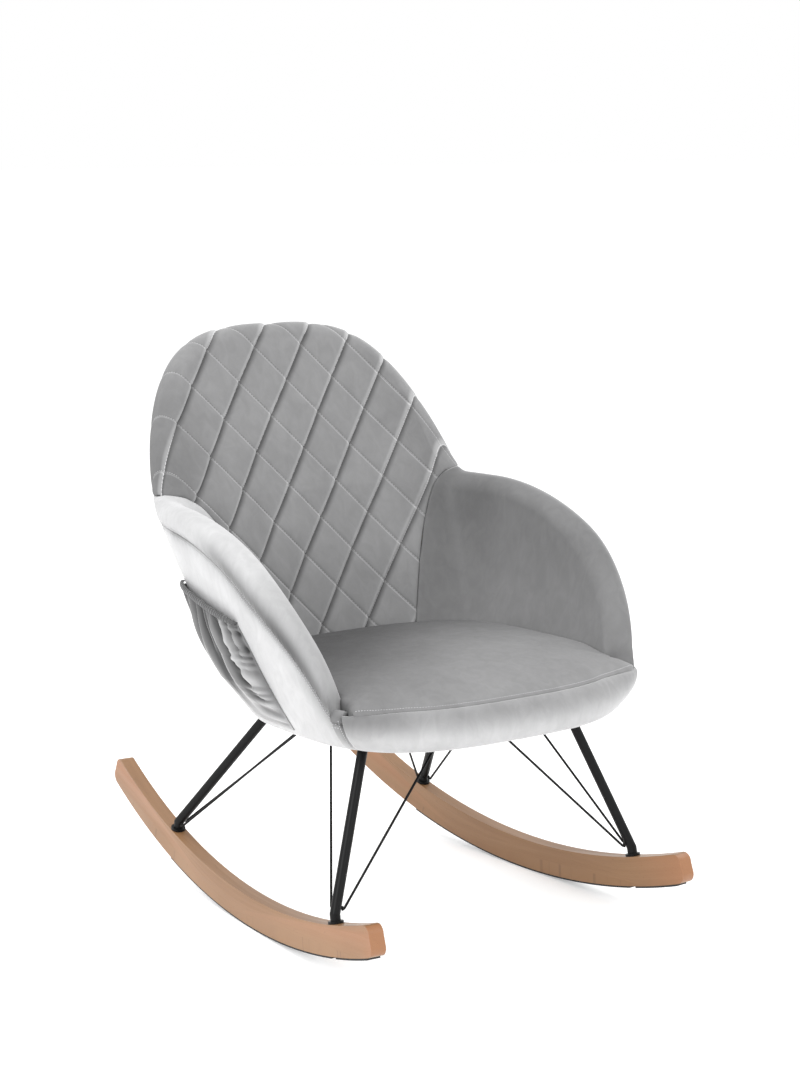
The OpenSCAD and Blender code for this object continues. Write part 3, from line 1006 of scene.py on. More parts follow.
    def joint(self, z: np.ndarray) -> np.ndarray:
        """Angle of the joint between the quilted back and an arm at a height."""
        u = np.clip((z - self.seam_height) / (self.arm_rise * 1.05), 0, 1)
        return self.back_end_seat + (self.back_end - self.back_end_seat) * u

    def section(
        self, a: np.ndarray, v: np.ndarray, lift: np.ndarray | float = 0.0
    ) -> tuple[np.ndarray, np.ndarray, np.ndarray]:
        """Points over the crest, from the outer seam (v is 0) down the inner face to the seat (v is 1).

        Args:
            a: Angles.
            v: Places along the section, from 0 to 1.
            lift: How far the points stand off the surface.

        Returns:
            Points, heights measured along the inner face, and distances from the outer seam.
        """
        t, c, s, top = self.half(a), self.crest(a), self.seam(a), self.rim_z(a)
        first = np.maximum(s - c, 0)
        arc = np.pi * np.sqrt((t * t + c * c) / 2)
        face = top - c - self.pad_low
        d = v * (first + arc + face)
        g = np.clip((d - first) / arc, 0, 1) * np.pi
        e = np.clip(d - first - arc, 0, None)
        f = e / face
        z = np.where(d < first, top - np.maximum(s, c) + d, top - c + (c + lift) * np.sin(g) - e)
        inner = self.wall(a) - self.thin(z + c * (1 - f)) + lift
        p = np.where(d < first, -lift, np.where(e > 0, inner, t - (t + lift) * np.cos(g)))
        return self.at(a, p, z), top - c + first + arc - d, d

    def seat_plan(self, a: np.ndarray, z: np.ndarray, inset: float = 0.0) -> np.ndarray:
        """Edge of the seat pad in plan.

        Args:
            a: Angles.
            z: Heights.
            inset: A further distance inwards.

        Returns:
            Points in plan.
        """
        v = ease((np.abs(a) - self.arm_end - 0.2) / 3.5)
        w = self.wall(a) + 1.0
        return self.at(a, w + (0.6 - w) * v + inset, z)[:, :2]

    def seat_edge(self, a: np.ndarray) -> np.ndarray:
        """Height of the seat's edge, higher along the walls."""
        return self.seam_height - 1.5 + self.seat_edge_rise * (1 - ease((np.abs(a) - self.arm_end + 14) / 28))


# ---- sewn threads -------------------------------------------------------------------


@dataclass(frozen=True)
class StitchRow:
    """Rows of single stitches laid along lines on the velvet.

    Attributes:
        pitch: Distance from one stitch to the next, in millimetres.
        length: Length of a stitch.
        width: Width of the thread.
    """

    pitch: float = 4.4
    length: float = 3.1
    width: float = 0.75

    def sew(self, name: str, lines: Sequence[np.ndarray]) -> None:
        """Makes the stitches along the lines.

        Args:
            name: The piece's name.
            lines: Arrays of points in millimetres.
        """
        made = bmesh.new()
        size = Matrix.Diagonal((self.length / 2 * MM, self.width / 2 * MM, self.width / 2 * MM, 1))
        lie = size @ Matrix.Rotation(math.pi / 2, 4, "Y")
        for line in lines:
            steps = np.linalg.norm(np.diff(line, axis=0), axis=1)
            run = np.concatenate([[0], np.cumsum(steps)])
            places = np.arange(self.pitch / 2, run[-1] - self.pitch / 2, self.pitch)
            points = np.stack([np.interp(places, run, line[:, k]) for k in range(3)], 1)
            ahead = np.stack([np.interp(places + 0.8, run, line[:, k]) for k in range(3)], 1)
            for point, front in zip(points, ahead):
                turn = Vector(front - point).to_track_quat("X", "Z").to_matrix().to_4x4()
                place = Matrix.Translation(Vector(point) * MM) @ turn @ lie
                bmesh.ops.create_uvsphere(made, u_segments=6, v_segments=5, radius=1.0, matrix=place)
        piece(made, name, Finish.THREAD, "velvet")


# ---- upholstery -----------------------------------------------------------------------

JOINT_GAP = 0.06  # degrees from the joint between the back and an arm to either pad


@dataclass
class QuiltedBack:
    """The padded back with its diamond quilting.

    Attributes:
        shell: The shell's curves.
        half_diamond: Half a diamond's width and height, in millimetres.
        side: Distance between parallel seams.
        puff: How far a diamond stands up from its seams.
        middle: Height of the crossing that the pattern is centred on.
        cells: Cells across the back and over its crest.
        thickness: Thickness of the padding.
        steep: Each point's place among the steep seams, once it is made.
        shallow: Each point's place among the shallow seams, once it is made.
    """

    shell: Shell
    half_diamond: tuple[float, float] = (46.5, 55.8)
    side: float = 71.5
    puff: float = 6.5
    middle: float = 716.0
    cells: tuple[int, int] = (360, 270)
    thickness: float = 14.0
    steep: list[float] = field(default_factory=list)
    shallow: list[float] = field(default_factory=list)

    def lattice(self, x: np.ndarray, height: np.ndarray) -> tuple[np.ndarray, np.ndarray]:
        """Numbers that grow by 1 from seam to seam, for the steep seams and for the shallow ones."""
        u, w = x / self.half_diamond[0], 8 - (height - self.middle) / self.half_diamond[1]
        return (w + u) / 2, (w - u) / 2

    def relief(self, steep: np.ndarray, shallow: np.ndarray) -> np.ndarray:
        """Height of the quilting over its seams.

        Args:
            steep: Place among the steep seams, which are folded over like small pleats.
            shallow: Place among the shallow seams, which are flat.

        Returns:
            The height in millimetres.
        """
        right = (steep % 1) * self.side
        left = self.side - right
        across = np.abs((shallow + 0.5) % 1 - 0.5) * self.side
        pillow = (1 - fall(right, 10)) * (1 - fall(left, 2.2)) * (1 - 0.45 * fall(across, 8))
        lip = 0.9 * np.exp(-(((left - 4.5) / 3.5) ** 2)) * (1 - 0.6 * fall(across, 6))
        return self.puff * pillow + lip - 2.3 * fall(across, 1.7) - 1.2 * fall(np.minimum(left, right), 1.2)

    def tone(self, p: np.ndarray) -> np.ndarray:
        """Painted light and shade on the velvet, darker towards the sitter's right."""
        return 0.205 - 0.060 * ease((-p[:, 0] - 150) / 140) - 0.035 * ease((p[:, 0] - 130) / 120)

    def shape(self, u: np.ndarray, v: np.ndarray, depth: float) -> np.ndarray:
        """Points of the quilted face, or of its back.

        Args:
            u: Places across the back, from the sitter's right (0) to the left (1).
            v: Places from the outer seam (0) down to the seat (1).
            depth: How far the points lie behind the face, 0 on the face itself.

        Returns:
            The points.
        """
        shell = self.shell
        turn = 2 * u - 1
        z = shell.section(turn * shell.back_end, v)[0][:, 2]
        a = turn * (shell.joint(z) - JOINT_GAP)
        flat, height, out = shell.section(a, v)
        steep, shallow = self.lattice(flat[:, 0], height)
        self.steep.extend(steep)
        self.shallow.extend(shallow)
        if depth:
            return shell.section(a, v, -depth)[0]
        reach = np.hypot(flat[:, 0], flat[:, 1] - shell.widest_y)
        side = np.radians(shell.joint(z) - np.abs(a)) * reach
        crest = ease((shell.crest(a) * 0.6 + out - shell.seam(a)) / 60)
        lift = (self.relief(steep, shallow) - 4.0) * (0.42 + 0.58 * crest)
        lift -= 3.6 * fall(out, 3.0) + 2.0 * fall(side, 2.6)
        return shell.section(a, v, lift)[0]

    def build(self) -> None:
        """Makes the back."""
        made = skin(*self.cells, self.shape, self.thickness, coarser=5)
        store(made, "seam_steep", self.steep)
        store(made, "seam_shallow", self.shallow)
        nap(made, self.tone)
        stands_for = ["quilted_back_cover", "back_foam"]
        back = piece(made, "quilted_back", Finish.QUILTED_VELVET, "quilted_velvet", stands_for)


@dataclass
class ArmPad:
    """One padded arm, from the quilted back to the front of the seat.

    Attributes:
        shell: The shell's curves.
        hand: 1 for the sitter's left, -1 for the right.
        cells: Cells along the arm and over its crest.
        thickness: Thickness of the padding, in millimetres.
        tones: Painted light and shade at each point, once it is made.
    """

    shell: Shell
    hand: int
    cells: tuple[int, int] = (200, 150)
    thickness: float = 12.0
    tones: list[float] = field(default_factory=list)

    def shape(self, u: np.ndarray, v: np.ndarray, depth: float) -> np.ndarray:
        """Points of the arm's velvet, or of its back.

        Args:
            u: Places along the arm, from the quilted back (0) to the front (1).
            v: Places from the outer seam (0) down to the seat (1).
            depth: How far the points lie behind the velvet, 0 on the velvet itself.

        Returns:
            The points.
        """
        shell = self.shell
        u = 0.35 * u + 0.65 * np.sin(u * np.pi / 2)
        z = shell.section(shell.back_end + (shell.arm_end - shell.back_end) * u, v)[0][:, 2]
        start = shell.joint(z) + JOINT_GAP
        a = start + (shell.arm_end - start) * u
        flat, height, out = shell.section(a, v)
        self.tones.extend(self.tone(flat, out))
        if depth:
            return sided(shell.section(a, v, -depth)[0], self.hand)
        reach = np.hypot(flat[:, 0], flat[:, 1] - shell.widest_y)
        side = np.radians(a - shell.joint(z)) * reach
        front = np.radians(shell.arm_end - a) * reach
        along = np.radians(a) * reach
        lift = -3.4 * fall(out, 3.2) - 2.0 * fall(side, 2.8) - 3.0 * fall(front, 4.0)
        pucker = 0.35 * np.sin(along / 1.35 + 1.1 * np.sin(along / 9.0)) + 0.25 * np.sin(along / 2.3 + 2)
        lift += pucker * fall(out - 5, 6) * (out > 0.5)
        soft = 0.35 * np.sin(along / 47 + height / 71) + 0.25 * np.sin(along / 31 - height / 55 + 1)
        lift += soft * (1 - fall(out, 20)) * (1 - fall(side, 20))
        tug = np.sin(height / 9 + 0.8 * np.sin(along / 30)) * fall(side, 26) * 0.5
        return sided(shell.section(a, v, lift + tug)[0], self.hand)

    def tone(self, p: np.ndarray, out: np.ndarray) -> np.ndarray:
        """Painted light and shade on the velvet, brightest over the inside of the right arm.

        Args:
            p: Points in millimetres.
            out: Their distances from the outer seam.

        Returns:
            The lightness.
        """
        # Painted light: a dim level on the left arm; on the right arm a bright level, with a band of painted
        # shade just inside the outer seam and painted shade at the seam itself.
        if self.hand > 0:
            return 0.150 + 0.035 * ease((620 - p[:, 2]) / 200) - 0.03 * ease((p[:, 1] - 40) / 100)
        middle = ease((95 - p[:, 1]) / 150) * (1 - 0.55 * ease((-150 - p[:, 1]) / 120))
        bright = 0.43 - 0.27 * np.exp(-(((out - 13) / 19) ** 2)) * middle - 0.13 * ease((-60 - p[:, 1]) / 180)
        return bright * (1 - 0.55 * fall(out, 4))

    def build(self) -> None:
        """Makes the arm."""
        made = skin(*self.cells, self.shape, self.thickness, coarser=5)
        store(made, "nap", self.tones)
        word = SIDES[self.hand]
        stands_for = [f"{word}_inner_arm_cover", f"{word}_arm_foam"]
        arm = piece(made, f"{word}_arm_pad", Finish.VELVET, "velvet", stands_for)


@dataclass
class OuterCover:
    """A velvet cover over the outside of the shell, from the lower edge to the outer seam.

    Attributes:
        shell: The shell's curves.
        name: The piece's name.
        node: The CAD node that it stands for.
        first: Its first angle, in degrees.
        last: Its last angle.
        hand: -1 to mirror it to the sitter's right.
        swell: How far it bulges between its edges, in millimetres.
        top: Its upper edge's height, or None for the outer seam.
        cells: Cells round the shell and up it.
        turn_under: How far it goes on under the shell, in millimetres.
        thickness: Thickness of the velvet and its backing.
        light: Painted lightness of its velvet between the seams.
    """

    shell: Shell
    name: str
    node: str
    first: float
    last: float
    hand: int = 1
    swell: float = 0.0
    top: float | None = None
    cells: tuple[int, int] = (160, 90)
    turn_under: float = 15.0
    thickness: float = 2.2
    light: float = 0.50

    def shape(self, u: np.ndarray, v: np.ndarray, depth: float) -> np.ndarray:
        """Points of the cover, or of its back.

        Args:
            u: Places round the shell, from the first angle (0) to the last (1).
            v: Places from under the shell (0) to the upper edge (1).
            depth: How far the points lie behind the velvet, 0 on the velvet itself.

        Returns:
            The points.
        """
        shell = self.shell
        a = self.first + (self.last - self.first) * u
        a = np.where(a > 180, a - 360, a)
        if self.top is None:
            high = shell.seam_z(a) - 0.4
        else:
            high = np.full(len(a), self.top)
        run = v * (self.turn_under + high - shell.underside)
        under = np.clip(self.turn_under - run, 0, None)
        z = shell.underside + np.clip(run - self.turn_under, 0, None)
        up = high - z
        reach = np.hypot(*(shell.foot(a)[0] - [0, shell.widest_y]).T)
        along = np.radians(a) * reach
        ends = np.minimum(np.abs(u), np.abs(1 - u)) * np.radians(abs(self.last - self.first)) * reach
        p = under + 3.2 * fall(up, 3.0) + 2.4 * fall(ends, 3.0)
        share = np.clip((z - shell.underside) / (high - shell.underside), 0, 1)
        p -= self.swell * np.sin(np.pi * share) ** 0.8
        pucker = 0.35 * np.sin(along / 1.4 + np.sin(along / 11)) + 0.25 * np.sin(along / 2.6 + 1)
        p -= pucker * fall(up - 5, 6) * (up > 0.5)
        p -= 0.7 * np.sin(along / 43 + z / 57) * (1 - fall(up, 20)) * (1 - fall(ends, 20))
        lift = depth * np.clip(1 - run / self.turn_under, 0, 1)
        return sided(shell.at(a, p + depth, z), self.hand) + np.outer(lift, [0, 0, 1])

    def tone(self, p: np.ndarray) -> np.ndarray:
        """Painted light and shade on the velvet, with painted shade towards the seams and the front corners.

        Args:
            p: Points in millimetres.

        Returns:
            The lightness.
        """
        a = np.degrees(np.arctan2(np.abs(p[:, 0]), p[:, 1] - self.shell.widest_y))
        # The front band: painted light, lighter low down and darker towards the sitter's right.
        if self.top is not None:
            low = ease((self.top - 6 - p[:, 2]) / 42)
            return 0.25 + 0.20 * low - 0.07 * ease((-p[:, 0] - 150) / 110) * (1 - 0.6 * low)
        up = self.shell.rim_z(a) - self.shell.seam(a) - p[:, 2]
        corner = ease((a - 104) / 18) * np.exp(-(((up - 18) / 30) ** 2))
        return self.light * (1 - 0.6 * fall(np.clip(up, 0, None), 13) - 0.32 * corner)

    def build(self) -> None:
        """Makes the cover."""
        made = skin(*self.cells, self.shape, self.thickness)
        nap(made, self.tone)
        cover = piece(made, self.name, Finish.VELVET, "velvet", [self.node])


@dataclass
class SeatCushion:
    """The crowned seat pad, inflated as cloth.

    Attributes:
        shell: The shell's curves.
        voxel: Size of the remeshed cells, in millimetres.
        pressure: Pressure inside the cloth.
        cap: The most that a point may move.
        steps: Frames of the simulation.
        rings: Meridians and rings of the ball that the pad is shaped from.
        low: Height of the pad's underside.
        top: Share of the ball, from its pole, that becomes the pad's top.
        turn: The share at which the pad's side turns under.
    """

    shell: Shell
    voxel: float = 6.0
    pressure: float = 4.0
    cap: float = 9.0
    steps: int = 20
    rings: tuple[int, int] = (240, 44)
    low: float = 379.0
    top: float = 0.62
    turn: float = 0.72

    def crown(self, a: np.ndarray, share: np.ndarray) -> np.ndarray:
        """Height of the pad's top.

        Args:
            a: Angles.
            share: Shares of the way from the top's middle to its edge.

        Returns:
            The heights.
        """
        edge = self.shell.seat_edge(a)
        peak = self.shell.seam_height + self.shell.seat_crown - 9
        power = 3.2 + 1.4 * ease((np.abs(a) - 100) / 40)
        return edge + (peak - edge) * (1 - share**power)

    def shape(self, points: np.ndarray, inset: float = 0.0) -> np.ndarray:
        """Turns a ball's points into the pad's.

        Args:
            points: Points of a ball of radius 1.
            inset: How much smaller the pad is made, in millimetres.

        Returns:
            Points in millimetres.
        """
        a = np.degrees(np.arctan2(points[:, 0], points[:, 1]))
        v = np.arccos(np.clip(points[:, 2], -1, 1)) / np.pi
        share = np.clip(v / self.top, 0, 1) ** 0.9
        below = np.clip((v - self.turn) / (1 - self.turn), 0, 1)
        side = np.clip((v - self.top) / (self.turn - self.top), 0, 1)
        edge = self.shell.seat_edge(a)
        plan = self.shell.seat_plan(a, edge, inset + 4.2 * ease(side))
        middle = np.array([0.0, self.shell.widest_y - 25])
        spread = np.where(v <= self.turn, share, 1 - below)[:, None]
        plan = middle + (plan - middle) * spread
        crown = self.crown(a, share) - inset
        z = np.where(v <= self.top, crown, edge - inset + (self.low - edge + inset) * side)
        return np.column_stack([plan, z])

    def inflate(self, pad: bpy.types.Object) -> None:
        """Blows the pad up as cloth, holding its underside.

        Args:
            pad: The pad, whose mesh is replaced.
        """
        scene = bpy.context.scene
        remesh = pad.modifiers.new("cells", "REMESH")
        remesh.mode, remesh.voxel_size = "VOXEL", self.voxel * MM
        self._apply(pad)
        rest = spots(pad.data.vertices)
        held = pad.vertex_groups.new(name="held")
        angles = np.degrees(np.arctan2(rest[:, 0], rest[:, 1]))
        fixed = rest[:, 2] < (self.shell.seat_edge(angles) + 2.5) * MM
        held.add([int(i) for i in np.flatnonzero(fixed)], 1.0, "REPLACE")
        cloth = pad.modifiers.new("cloth", "CLOTH")
        velvet = cloth.settings
        velvet.quality = 6
        velvet.mass = 0.3
        velvet.tension_stiffness = velvet.compression_stiffness = 15
        velvet.shear_stiffness = 5
        velvet.bending_stiffness = 1.5
        velvet.use_pressure = True
        velvet.uniform_pressure_force = self.pressure
        velvet.vertex_group_mass = "held"
        velvet.effector_weights.gravity = 0
        cloth.point_cache.frame_start, cloth.point_cache.frame_end = 1, self.steps
        for frame_number in range(1, self.steps + 1):
            scene.frame_set(frame_number)
        self._apply(pad)
        scene.frame_set(1)
        moved = spots(pad.data.vertices) - rest
        length = np.linalg.norm(moved, axis=1, keepdims=True)
        moved *= np.minimum(1, self.cap * MM / np.maximum(length, 1e-9))
        pad.data.vertices.foreach_set("co", (rest + moved).astype(np.float32).ravel())

    @staticmethod
    def _apply(pad: bpy.types.Object) -> None:
        """Applies the modifiers to the mesh.

        Args:
            pad: The pad, whose mesh is replaced.
        """
        view = bpy.context.evaluated_depsgraph_get()
        mesh = bpy.data.meshes.new_from_object(pad.evaluated_get(view), depsgraph=view)
        pad.modifiers.clear()
        old, pad.data = pad.data, mesh
        bpy.data.meshes.remove(old)

    def tone(self, p: np.ndarray) -> np.ndarray:
        """Painted light and shade on the velvet, darker towards the rear right."""
        front = (-p[:, 1] + 0.55 * p[:, 0] + 30 * np.sin(p[:, 0] / 70)) / 420
        return 0.055 + 0.150 * ease(front + 0.34)

    def build(self) -> bpy.types.Object:
        """Makes the cushion.

        Returns:
            The cushion, whose top the stitches lie on.
        """
        made = bmesh.new()
        bmesh.ops.create_uvsphere(made, u_segments=self.rings[0], v_segments=self.rings[1], radius=1.0)
        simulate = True
        move(made, self.shape(spots(made.verts), 0.8 if simulate else 0.0))
        bmesh.ops.recalc_face_normals(made, faces=made.faces)
        relax(made)
        pad = piece(made, "seat_cushion", Finish.SEAT_VELVET, "velvet", ["seat_cover", "seat_foam"])
        if simulate:
            self.inflate(pad)
        finished = bmesh.new()
        finished.from_mesh(pad.data)
        for _ in range(3 if simulate else 1):
            relax(finished)
        nap(finished, self.tone)
        finished.to_mesh(pad.data)
        finished.free()
        pad.data.shade_smooth()
        if not pad.data.materials:
            pad.data.materials.append(Finish.SEAT_VELVET.material())
        smooth = pad.modifiers.new("smooth", "SUBSURF")
        smooth.levels = smooth.render_levels = 1
        return pad


@dataclass
class Pocket:
    """A gathered side pocket with an elastic hem.

    Attributes:
        shell: The shell's curves.
        hand: 1 for the sitter's left, -1 for the right.
        stand: How far its mouth stands off the arm, in millimetres.
        mouth: Heights of the mouth above the underside, at its rear and at its front.
        angles: Angles of its rear edge, of its front at the mouth, and of its front corner low down.
        hem_radius: Radius of the casing.
        low: Height of its lower edge above the underside.
        cells: Cells along it and up it.
        thickness: Thickness of the velvet.
        hem_cells: Cells along the casing and round it.
        hem_painted_light: Painted lightness of the casing's velvet.
        flat: The flat cut's width and height, in metres; not used.
        tones: Painted light and shade at each point, once it is made.
    """

    shell: Shell
    hand: int
    stand: float = 16.0
    mouth: tuple[float, float] = (196.0, 166.0)
    angles: tuple[float, float, float] = (57.0, 86.0, 103.0)
    hem_radius: float = 4.0
    low: float = 14.0
    cells: tuple[int, int] = (200, 150)
    thickness: float = 1.3
    hem_cells: tuple[int, int] = (220, 18)
    hem_painted_light: float = 0.085
    flat: tuple[float, float] = (0.26, 0.19)
    tones: list[float] = field(default_factory=list)

    def mouth_z(self, u: np.ndarray) -> np.ndarray:
        """Height of the mouth, from its rear (0) to its front (1)."""
        return self.shell.underside + self.mouth[0] + (self.mouth[1] - self.mouth[0]) * u

    def puff(self, u: np.ndarray, v: np.ndarray) -> np.ndarray:
        """How far the cloth stands off the arm, without its folds."""
        arch = np.sqrt(np.clip(1 - np.abs(2 * u - 1) ** 5, 0, 1))
        return self.stand * arch * (0.8 + 0.6 * np.sin(np.pi * v)) * np.minimum(1, v * 3) ** 0.6

    def angle(self, u: np.ndarray, v: np.ndarray) -> np.ndarray:
        """Angle in plan at a place on the cloth."""
        rear, top, corner = self.angles
        return rear + (corner + (top - corner) * v - rear) * u

    @staticmethod
    def ridged(wave: np.ndarray) -> np.ndarray:
        """A wave with sharper ridges."""
        return np.sign(wave) * np.abs(wave) ** 0.75

    def folds(self, u: np.ndarray, v: np.ndarray) -> np.ndarray:
        """Height of the gathers and folds.

        Args:
            u: Places from the rear (0) to the front (1).
            v: Places from the lower edge (0) to the mouth (1).

        Returns:
            The height in millimetres.
        """
        down = 1 - v
        lean = u + 0.10 * down * np.sin(3.0 * u + 1.0) - 0.16 * down**1.4 * (0.3 + u)
        wave = 2 * np.pi * lean
        fine = np.sin(17 * wave + 1.8 * np.sin(3 * wave)) * np.exp(-down / 0.10)
        middle = np.sin(8 * wave + 1.6 * np.sin(2 * wave + 5 * down)) * np.exp(-(((down - 0.17) / 0.20) ** 2))
        broad = np.sin(3.6 * wave + 1.4 * np.sin(1.3 * wave + 2 * down) + 0.6)
        broad *= np.exp(-(((down - 0.42) / 0.30) ** 2))
        rows = 2 * np.pi * v
        near_front = np.exp(-(1 - u) / 0.085)
        crimps = np.sin(11 * rows + 2.2 * np.sin(3 * rows)) * near_front * (1 - np.exp(-down / 0.05))
        drift = np.sin(7 * rows + 5 * u) * np.exp(-(((1 - u) - 0.16) / 0.11) ** 2) * np.sin(np.pi * v)
        held = (1 - np.exp(-u / 0.035)) * (1 - np.exp(-(1 - u) / 0.02)) * (1 - np.exp(-v / 0.05))
        gathers = 1.4 * fine + 4.0 * self.ridged(middle) + 5.8 * self.ridged(broad)
        return held * (gathers + 3.8 * self.ridged(crimps) + 2.4 * drift)

    def surface(self, u: np.ndarray, v: np.ndarray, extra: np.ndarray | float = 0.0) -> np.ndarray:
        """Points of the cloth.

        Args:
            u: Places from the rear (0) to the front (1).
            v: Places from the lower edge (0) to the mouth (1).
            extra: How much further the points stand off the arm, in millimetres.

        Returns:
            The points.
        """
        z = self.shell.underside + self.low + (self.mouth_z(u) - self.shell.underside - self.low) * v
        folds = self.folds(u, v)
        self.tones.extend(self.tone(u, v, folds))
        off = np.maximum(self.puff(u, v) + folds, 1.2) + extra
        return sided(self.shell.at(self.angle(u, v), -off, z), self.hand)

    def hem_point(self, u: np.ndarray, around: np.ndarray) -> np.ndarray:
        """Points of the gathered casing that holds the elastic.

        Args:
            u: Places from the rear (0) to the front (1).
            around: Places round the casing, from 0 to 1.

        Returns:
            The points.
        """
        gather = 1 + 0.13 * np.sin(2 * np.pi * 34 * u + 1.2 * np.sin(2 * np.pi * 5 * u))
        radius = self.hem_radius * gather * np.sqrt(np.clip(1 - np.abs(2 * u - 1) ** 12, 0.02, 1))
        centre = np.maximum(self.puff(u, np.ones_like(u)) + 1.2, 0.85 * radius + 0.4)
        angle = 2 * np.pi * around
        a = self.angle(u, np.ones_like(u))
        points = self.shell.at(a, -(centre + 0.85 * radius * np.cos(angle)), self.mouth_z(u))
        points[:, 2] = self.mouth_z(u) + self.hem_radius + 0.2 + 1.15 * radius * np.sin(angle)
        return sided(points, self.hand)

    def tone(self, u: np.ndarray, v: np.ndarray, folds: np.ndarray) -> np.ndarray:
        """Painted light and shade on the velvet, with painted highlights on the folds, lighter low down and
        to the front.

        Args:
            u: Places from the rear (0) to the front (1).
            v: Places from the lower edge (0) to the mouth (1).
            folds: Height of the folds, in millimetres.

        Returns:
            The lightness.
        """
        plain = 0.085 + 0.11 * ease((0.42 - v) / 0.42) + 0.10 * ease((u - 0.62) / 0.3)
        # Painted highlights on the fold crests and painted shade in their hollows.
        return np.clip(plain * (1.0 + 0.16 * folds), 0.03, 0.6)

    def build(self) -> None:
        """Makes the pocket and its hem."""
        word = SIDES[self.hand]
        velvet = (Finish.POCKET_VELVET, "pocket_velvet")
        made = skin(*self.cells, lambda u, v, depth: self.surface(u, v, -depth), self.thickness)
        store(made, "nap", self.tones)
        cloth = piece(made, f"{word}_pocket_cloth", *velvet, [f"{word}_pocket"])
        tube = grid(*self.hem_cells, self.hem_point, wrap=True)
        nap(tube, lambda p: np.full(len(p), self.hem_painted_light))
        ends = [e for e in tube.edges if e.is_boundary]
        bmesh.ops.holes_fill(tube, edges=ends, sides=0)
        bmesh.ops.recalc_face_normals(tube, faces=tube.faces)
        hem = piece(tube, f"{word}_pocket_casing", *velvet, [f"{word}_pocket_hem"])


@dataclass
class Upholstery:
    """Everything soft on the chair, with its sewn lines.

    Attributes:
        shell: The shell's curves.
    """

    shell: Shell = field(default_factory=Shell)

    def build(self) -> None:
        """Makes every soft piece in order."""
        shell = self.shell
        QuiltedBack(shell).build()
        for hand in SIDES:
            ArmPad(shell, hand).build()
        # light sets the painted light level: the outer back darker than the outer arms.
        OuterCover(
            shell, "outer_back", "outer_back_cover", -54.95, 54.95, cells=(200, 130), light=0.24
        ).build()
        for hand, word in SIDES.items():
            OuterCover(shell, f"{word}_outer_arm", f"{word}_outer_arm_cover", 55.15, 127.0, hand).build()
            Pocket(shell, hand).build()
        edge = shell.seam_height - 2.5
        OuterCover(
            shell, "front_seat_band", "front_band", 127.3, 232.7, swell=5.0, top=edge, cells=(200, 60)
        ).build()
        self.seams(SeatCushion(shell).build())

    def seams(self, cushion: bpy.types.Object) -> None:
        """Sews the visible seams.

        Args:
            cushion: The seat cushion, on which the front topstitching lies.
        """
        shell, row = self.shell, StitchRow()
        surface = BVHTree.FromObject(cushion, bpy.context.evaluated_depsgraph_get())
        front = np.linspace(130.5, 229.5, 400)
        front = np.where(front > 180, front - 360, front)
        plan = shell.seat_plan(front, shell.seat_edge(front), 7.0)
        guide = np.column_stack([plan, np.full(len(front), shell.seam_height + 6)])
        top = [surface.find_nearest(Vector(point) * MM)[0] / MM for point in guide]
        row.sew("front_seam_stitches", [np.array(top)])
        corner_z = np.linspace(shell.underside + 8, shell.seam_height - 6, 200)
        corner = shell.at(np.full(200, shell.arm_end - 0.7), np.full(200, -0.1), corner_z)
        row.sew("corner_seam_stitches", [corner, sided(corner, -1)])
        arm = np.linspace(56, 126, 400)
        below = shell.at(arm, np.full(len(arm), 0.15), shell.seam_z(arm) - 5.0)
        above = shell.section(arm, np.full(len(arm), 0.012), -0.5)[0]
        row.sew("arm_seam_stitches", [below, sided(below, -1), above, sided(above, -1)])
        back = np.linspace(-54, 54, 600)
        row.sew("back_seam_stitches", [shell.at(back, np.full(len(back), 0.15), shell.seam_z(back) - 5.0)])


# ---- rockers and steel ------------------------------------------------------------------


@dataclass
class Rockers:
    """The two beech rockers, with softened edges and their grain.

    Attributes:
        radius: Radius of the running arc, in millimetres.
        spacing: Distance between the rockers' middles.
        toe: Angle by which each opens towards the front, in degrees.
        soften: Radius of the softened edges.
        ends: Arc angles of the front and the rear end, in degrees.
        weld: Distance under which the solid's points are merged, in metres.
        sharp: Angle over which an edge is softened, in degrees.
    """

    radius: float = 1157.0
    spacing: float = 544.0
    toe: float = 3.9
    soften: float = 2.4
    ends: tuple[float, float] = (-19.6, 26.4)
    weld: float = 2e-5
    sharp: float = 40.0

    def build(self) -> None:
        """Makes both rockers."""
        for hand, word in SIDES.items():
            made = bmesh.new()
            made.from_mesh(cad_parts[f"{word}_rocker"].data)
            bmesh.ops.remove_doubles(made, verts=made.verts, dist=self.weld)
            bmesh.ops.dissolve_limit(made, angle_limit=math.radians(0.6), verts=made.verts, edges=made.edges)
            limit = math.radians(self.sharp)
            sharp = [e for e in made.edges if e.is_manifold and e.calc_face_angle() > limit]
            bmesh.ops.bevel(
                made,
                geom=sharp,
                offset=self.soften * MM,
                affect="EDGES",
                segments=4,
                profile=0.5,
                material=-1,
                clamp_overlap=True,
            )
            self.grain(made, hand)
            rocker = piece(made, f"{word}_beech_rocker", Finish.BEECH, "beech", [f"{word}_rocker"])
            rocker.data.set_sharp_from_angle(angle=math.radians(35))
            weighted = rocker.modifiers.new("flat_sides", "WEIGHTED_NORMAL")
            weighted.keep_sharp = True

    def grain(self, made: bmesh.types.BMesh, hand: int) -> None:
        """Keeps each point's place in the wood.

        Args:
            made: The rocker, in metres.
            hand: 1 for the sitter's left, -1 for the right.
        """
        made.normal_update()
        turn = math.radians(self.toe)
        along, across, side, end = [], [], [], []
        for vert in made.verts:
            x, y, z = vert.co.x * hand - self.spacing / 2 * MM, vert.co.y, vert.co.z
            lateral = x * math.cos(turn) + y * math.sin(turn)
            back = y * math.cos(turn) - x * math.sin(turn)
            angle = math.atan2(back, self.radius * MM - z)
            along.append(angle * self.radius * MM + 0.37 * hand)
            across.append(math.hypot(back, self.radius * MM - z))
            side.append(lateral + 0.11 * hand)
            near = min(abs(math.degrees(angle) - e) for e in self.ends)
            end.append(1.0 if near < 0.35 else 0.0)
        for name, values in (("along", along), ("across", across), ("side", side), ("end_grain", end)):
            store(made, name, values)


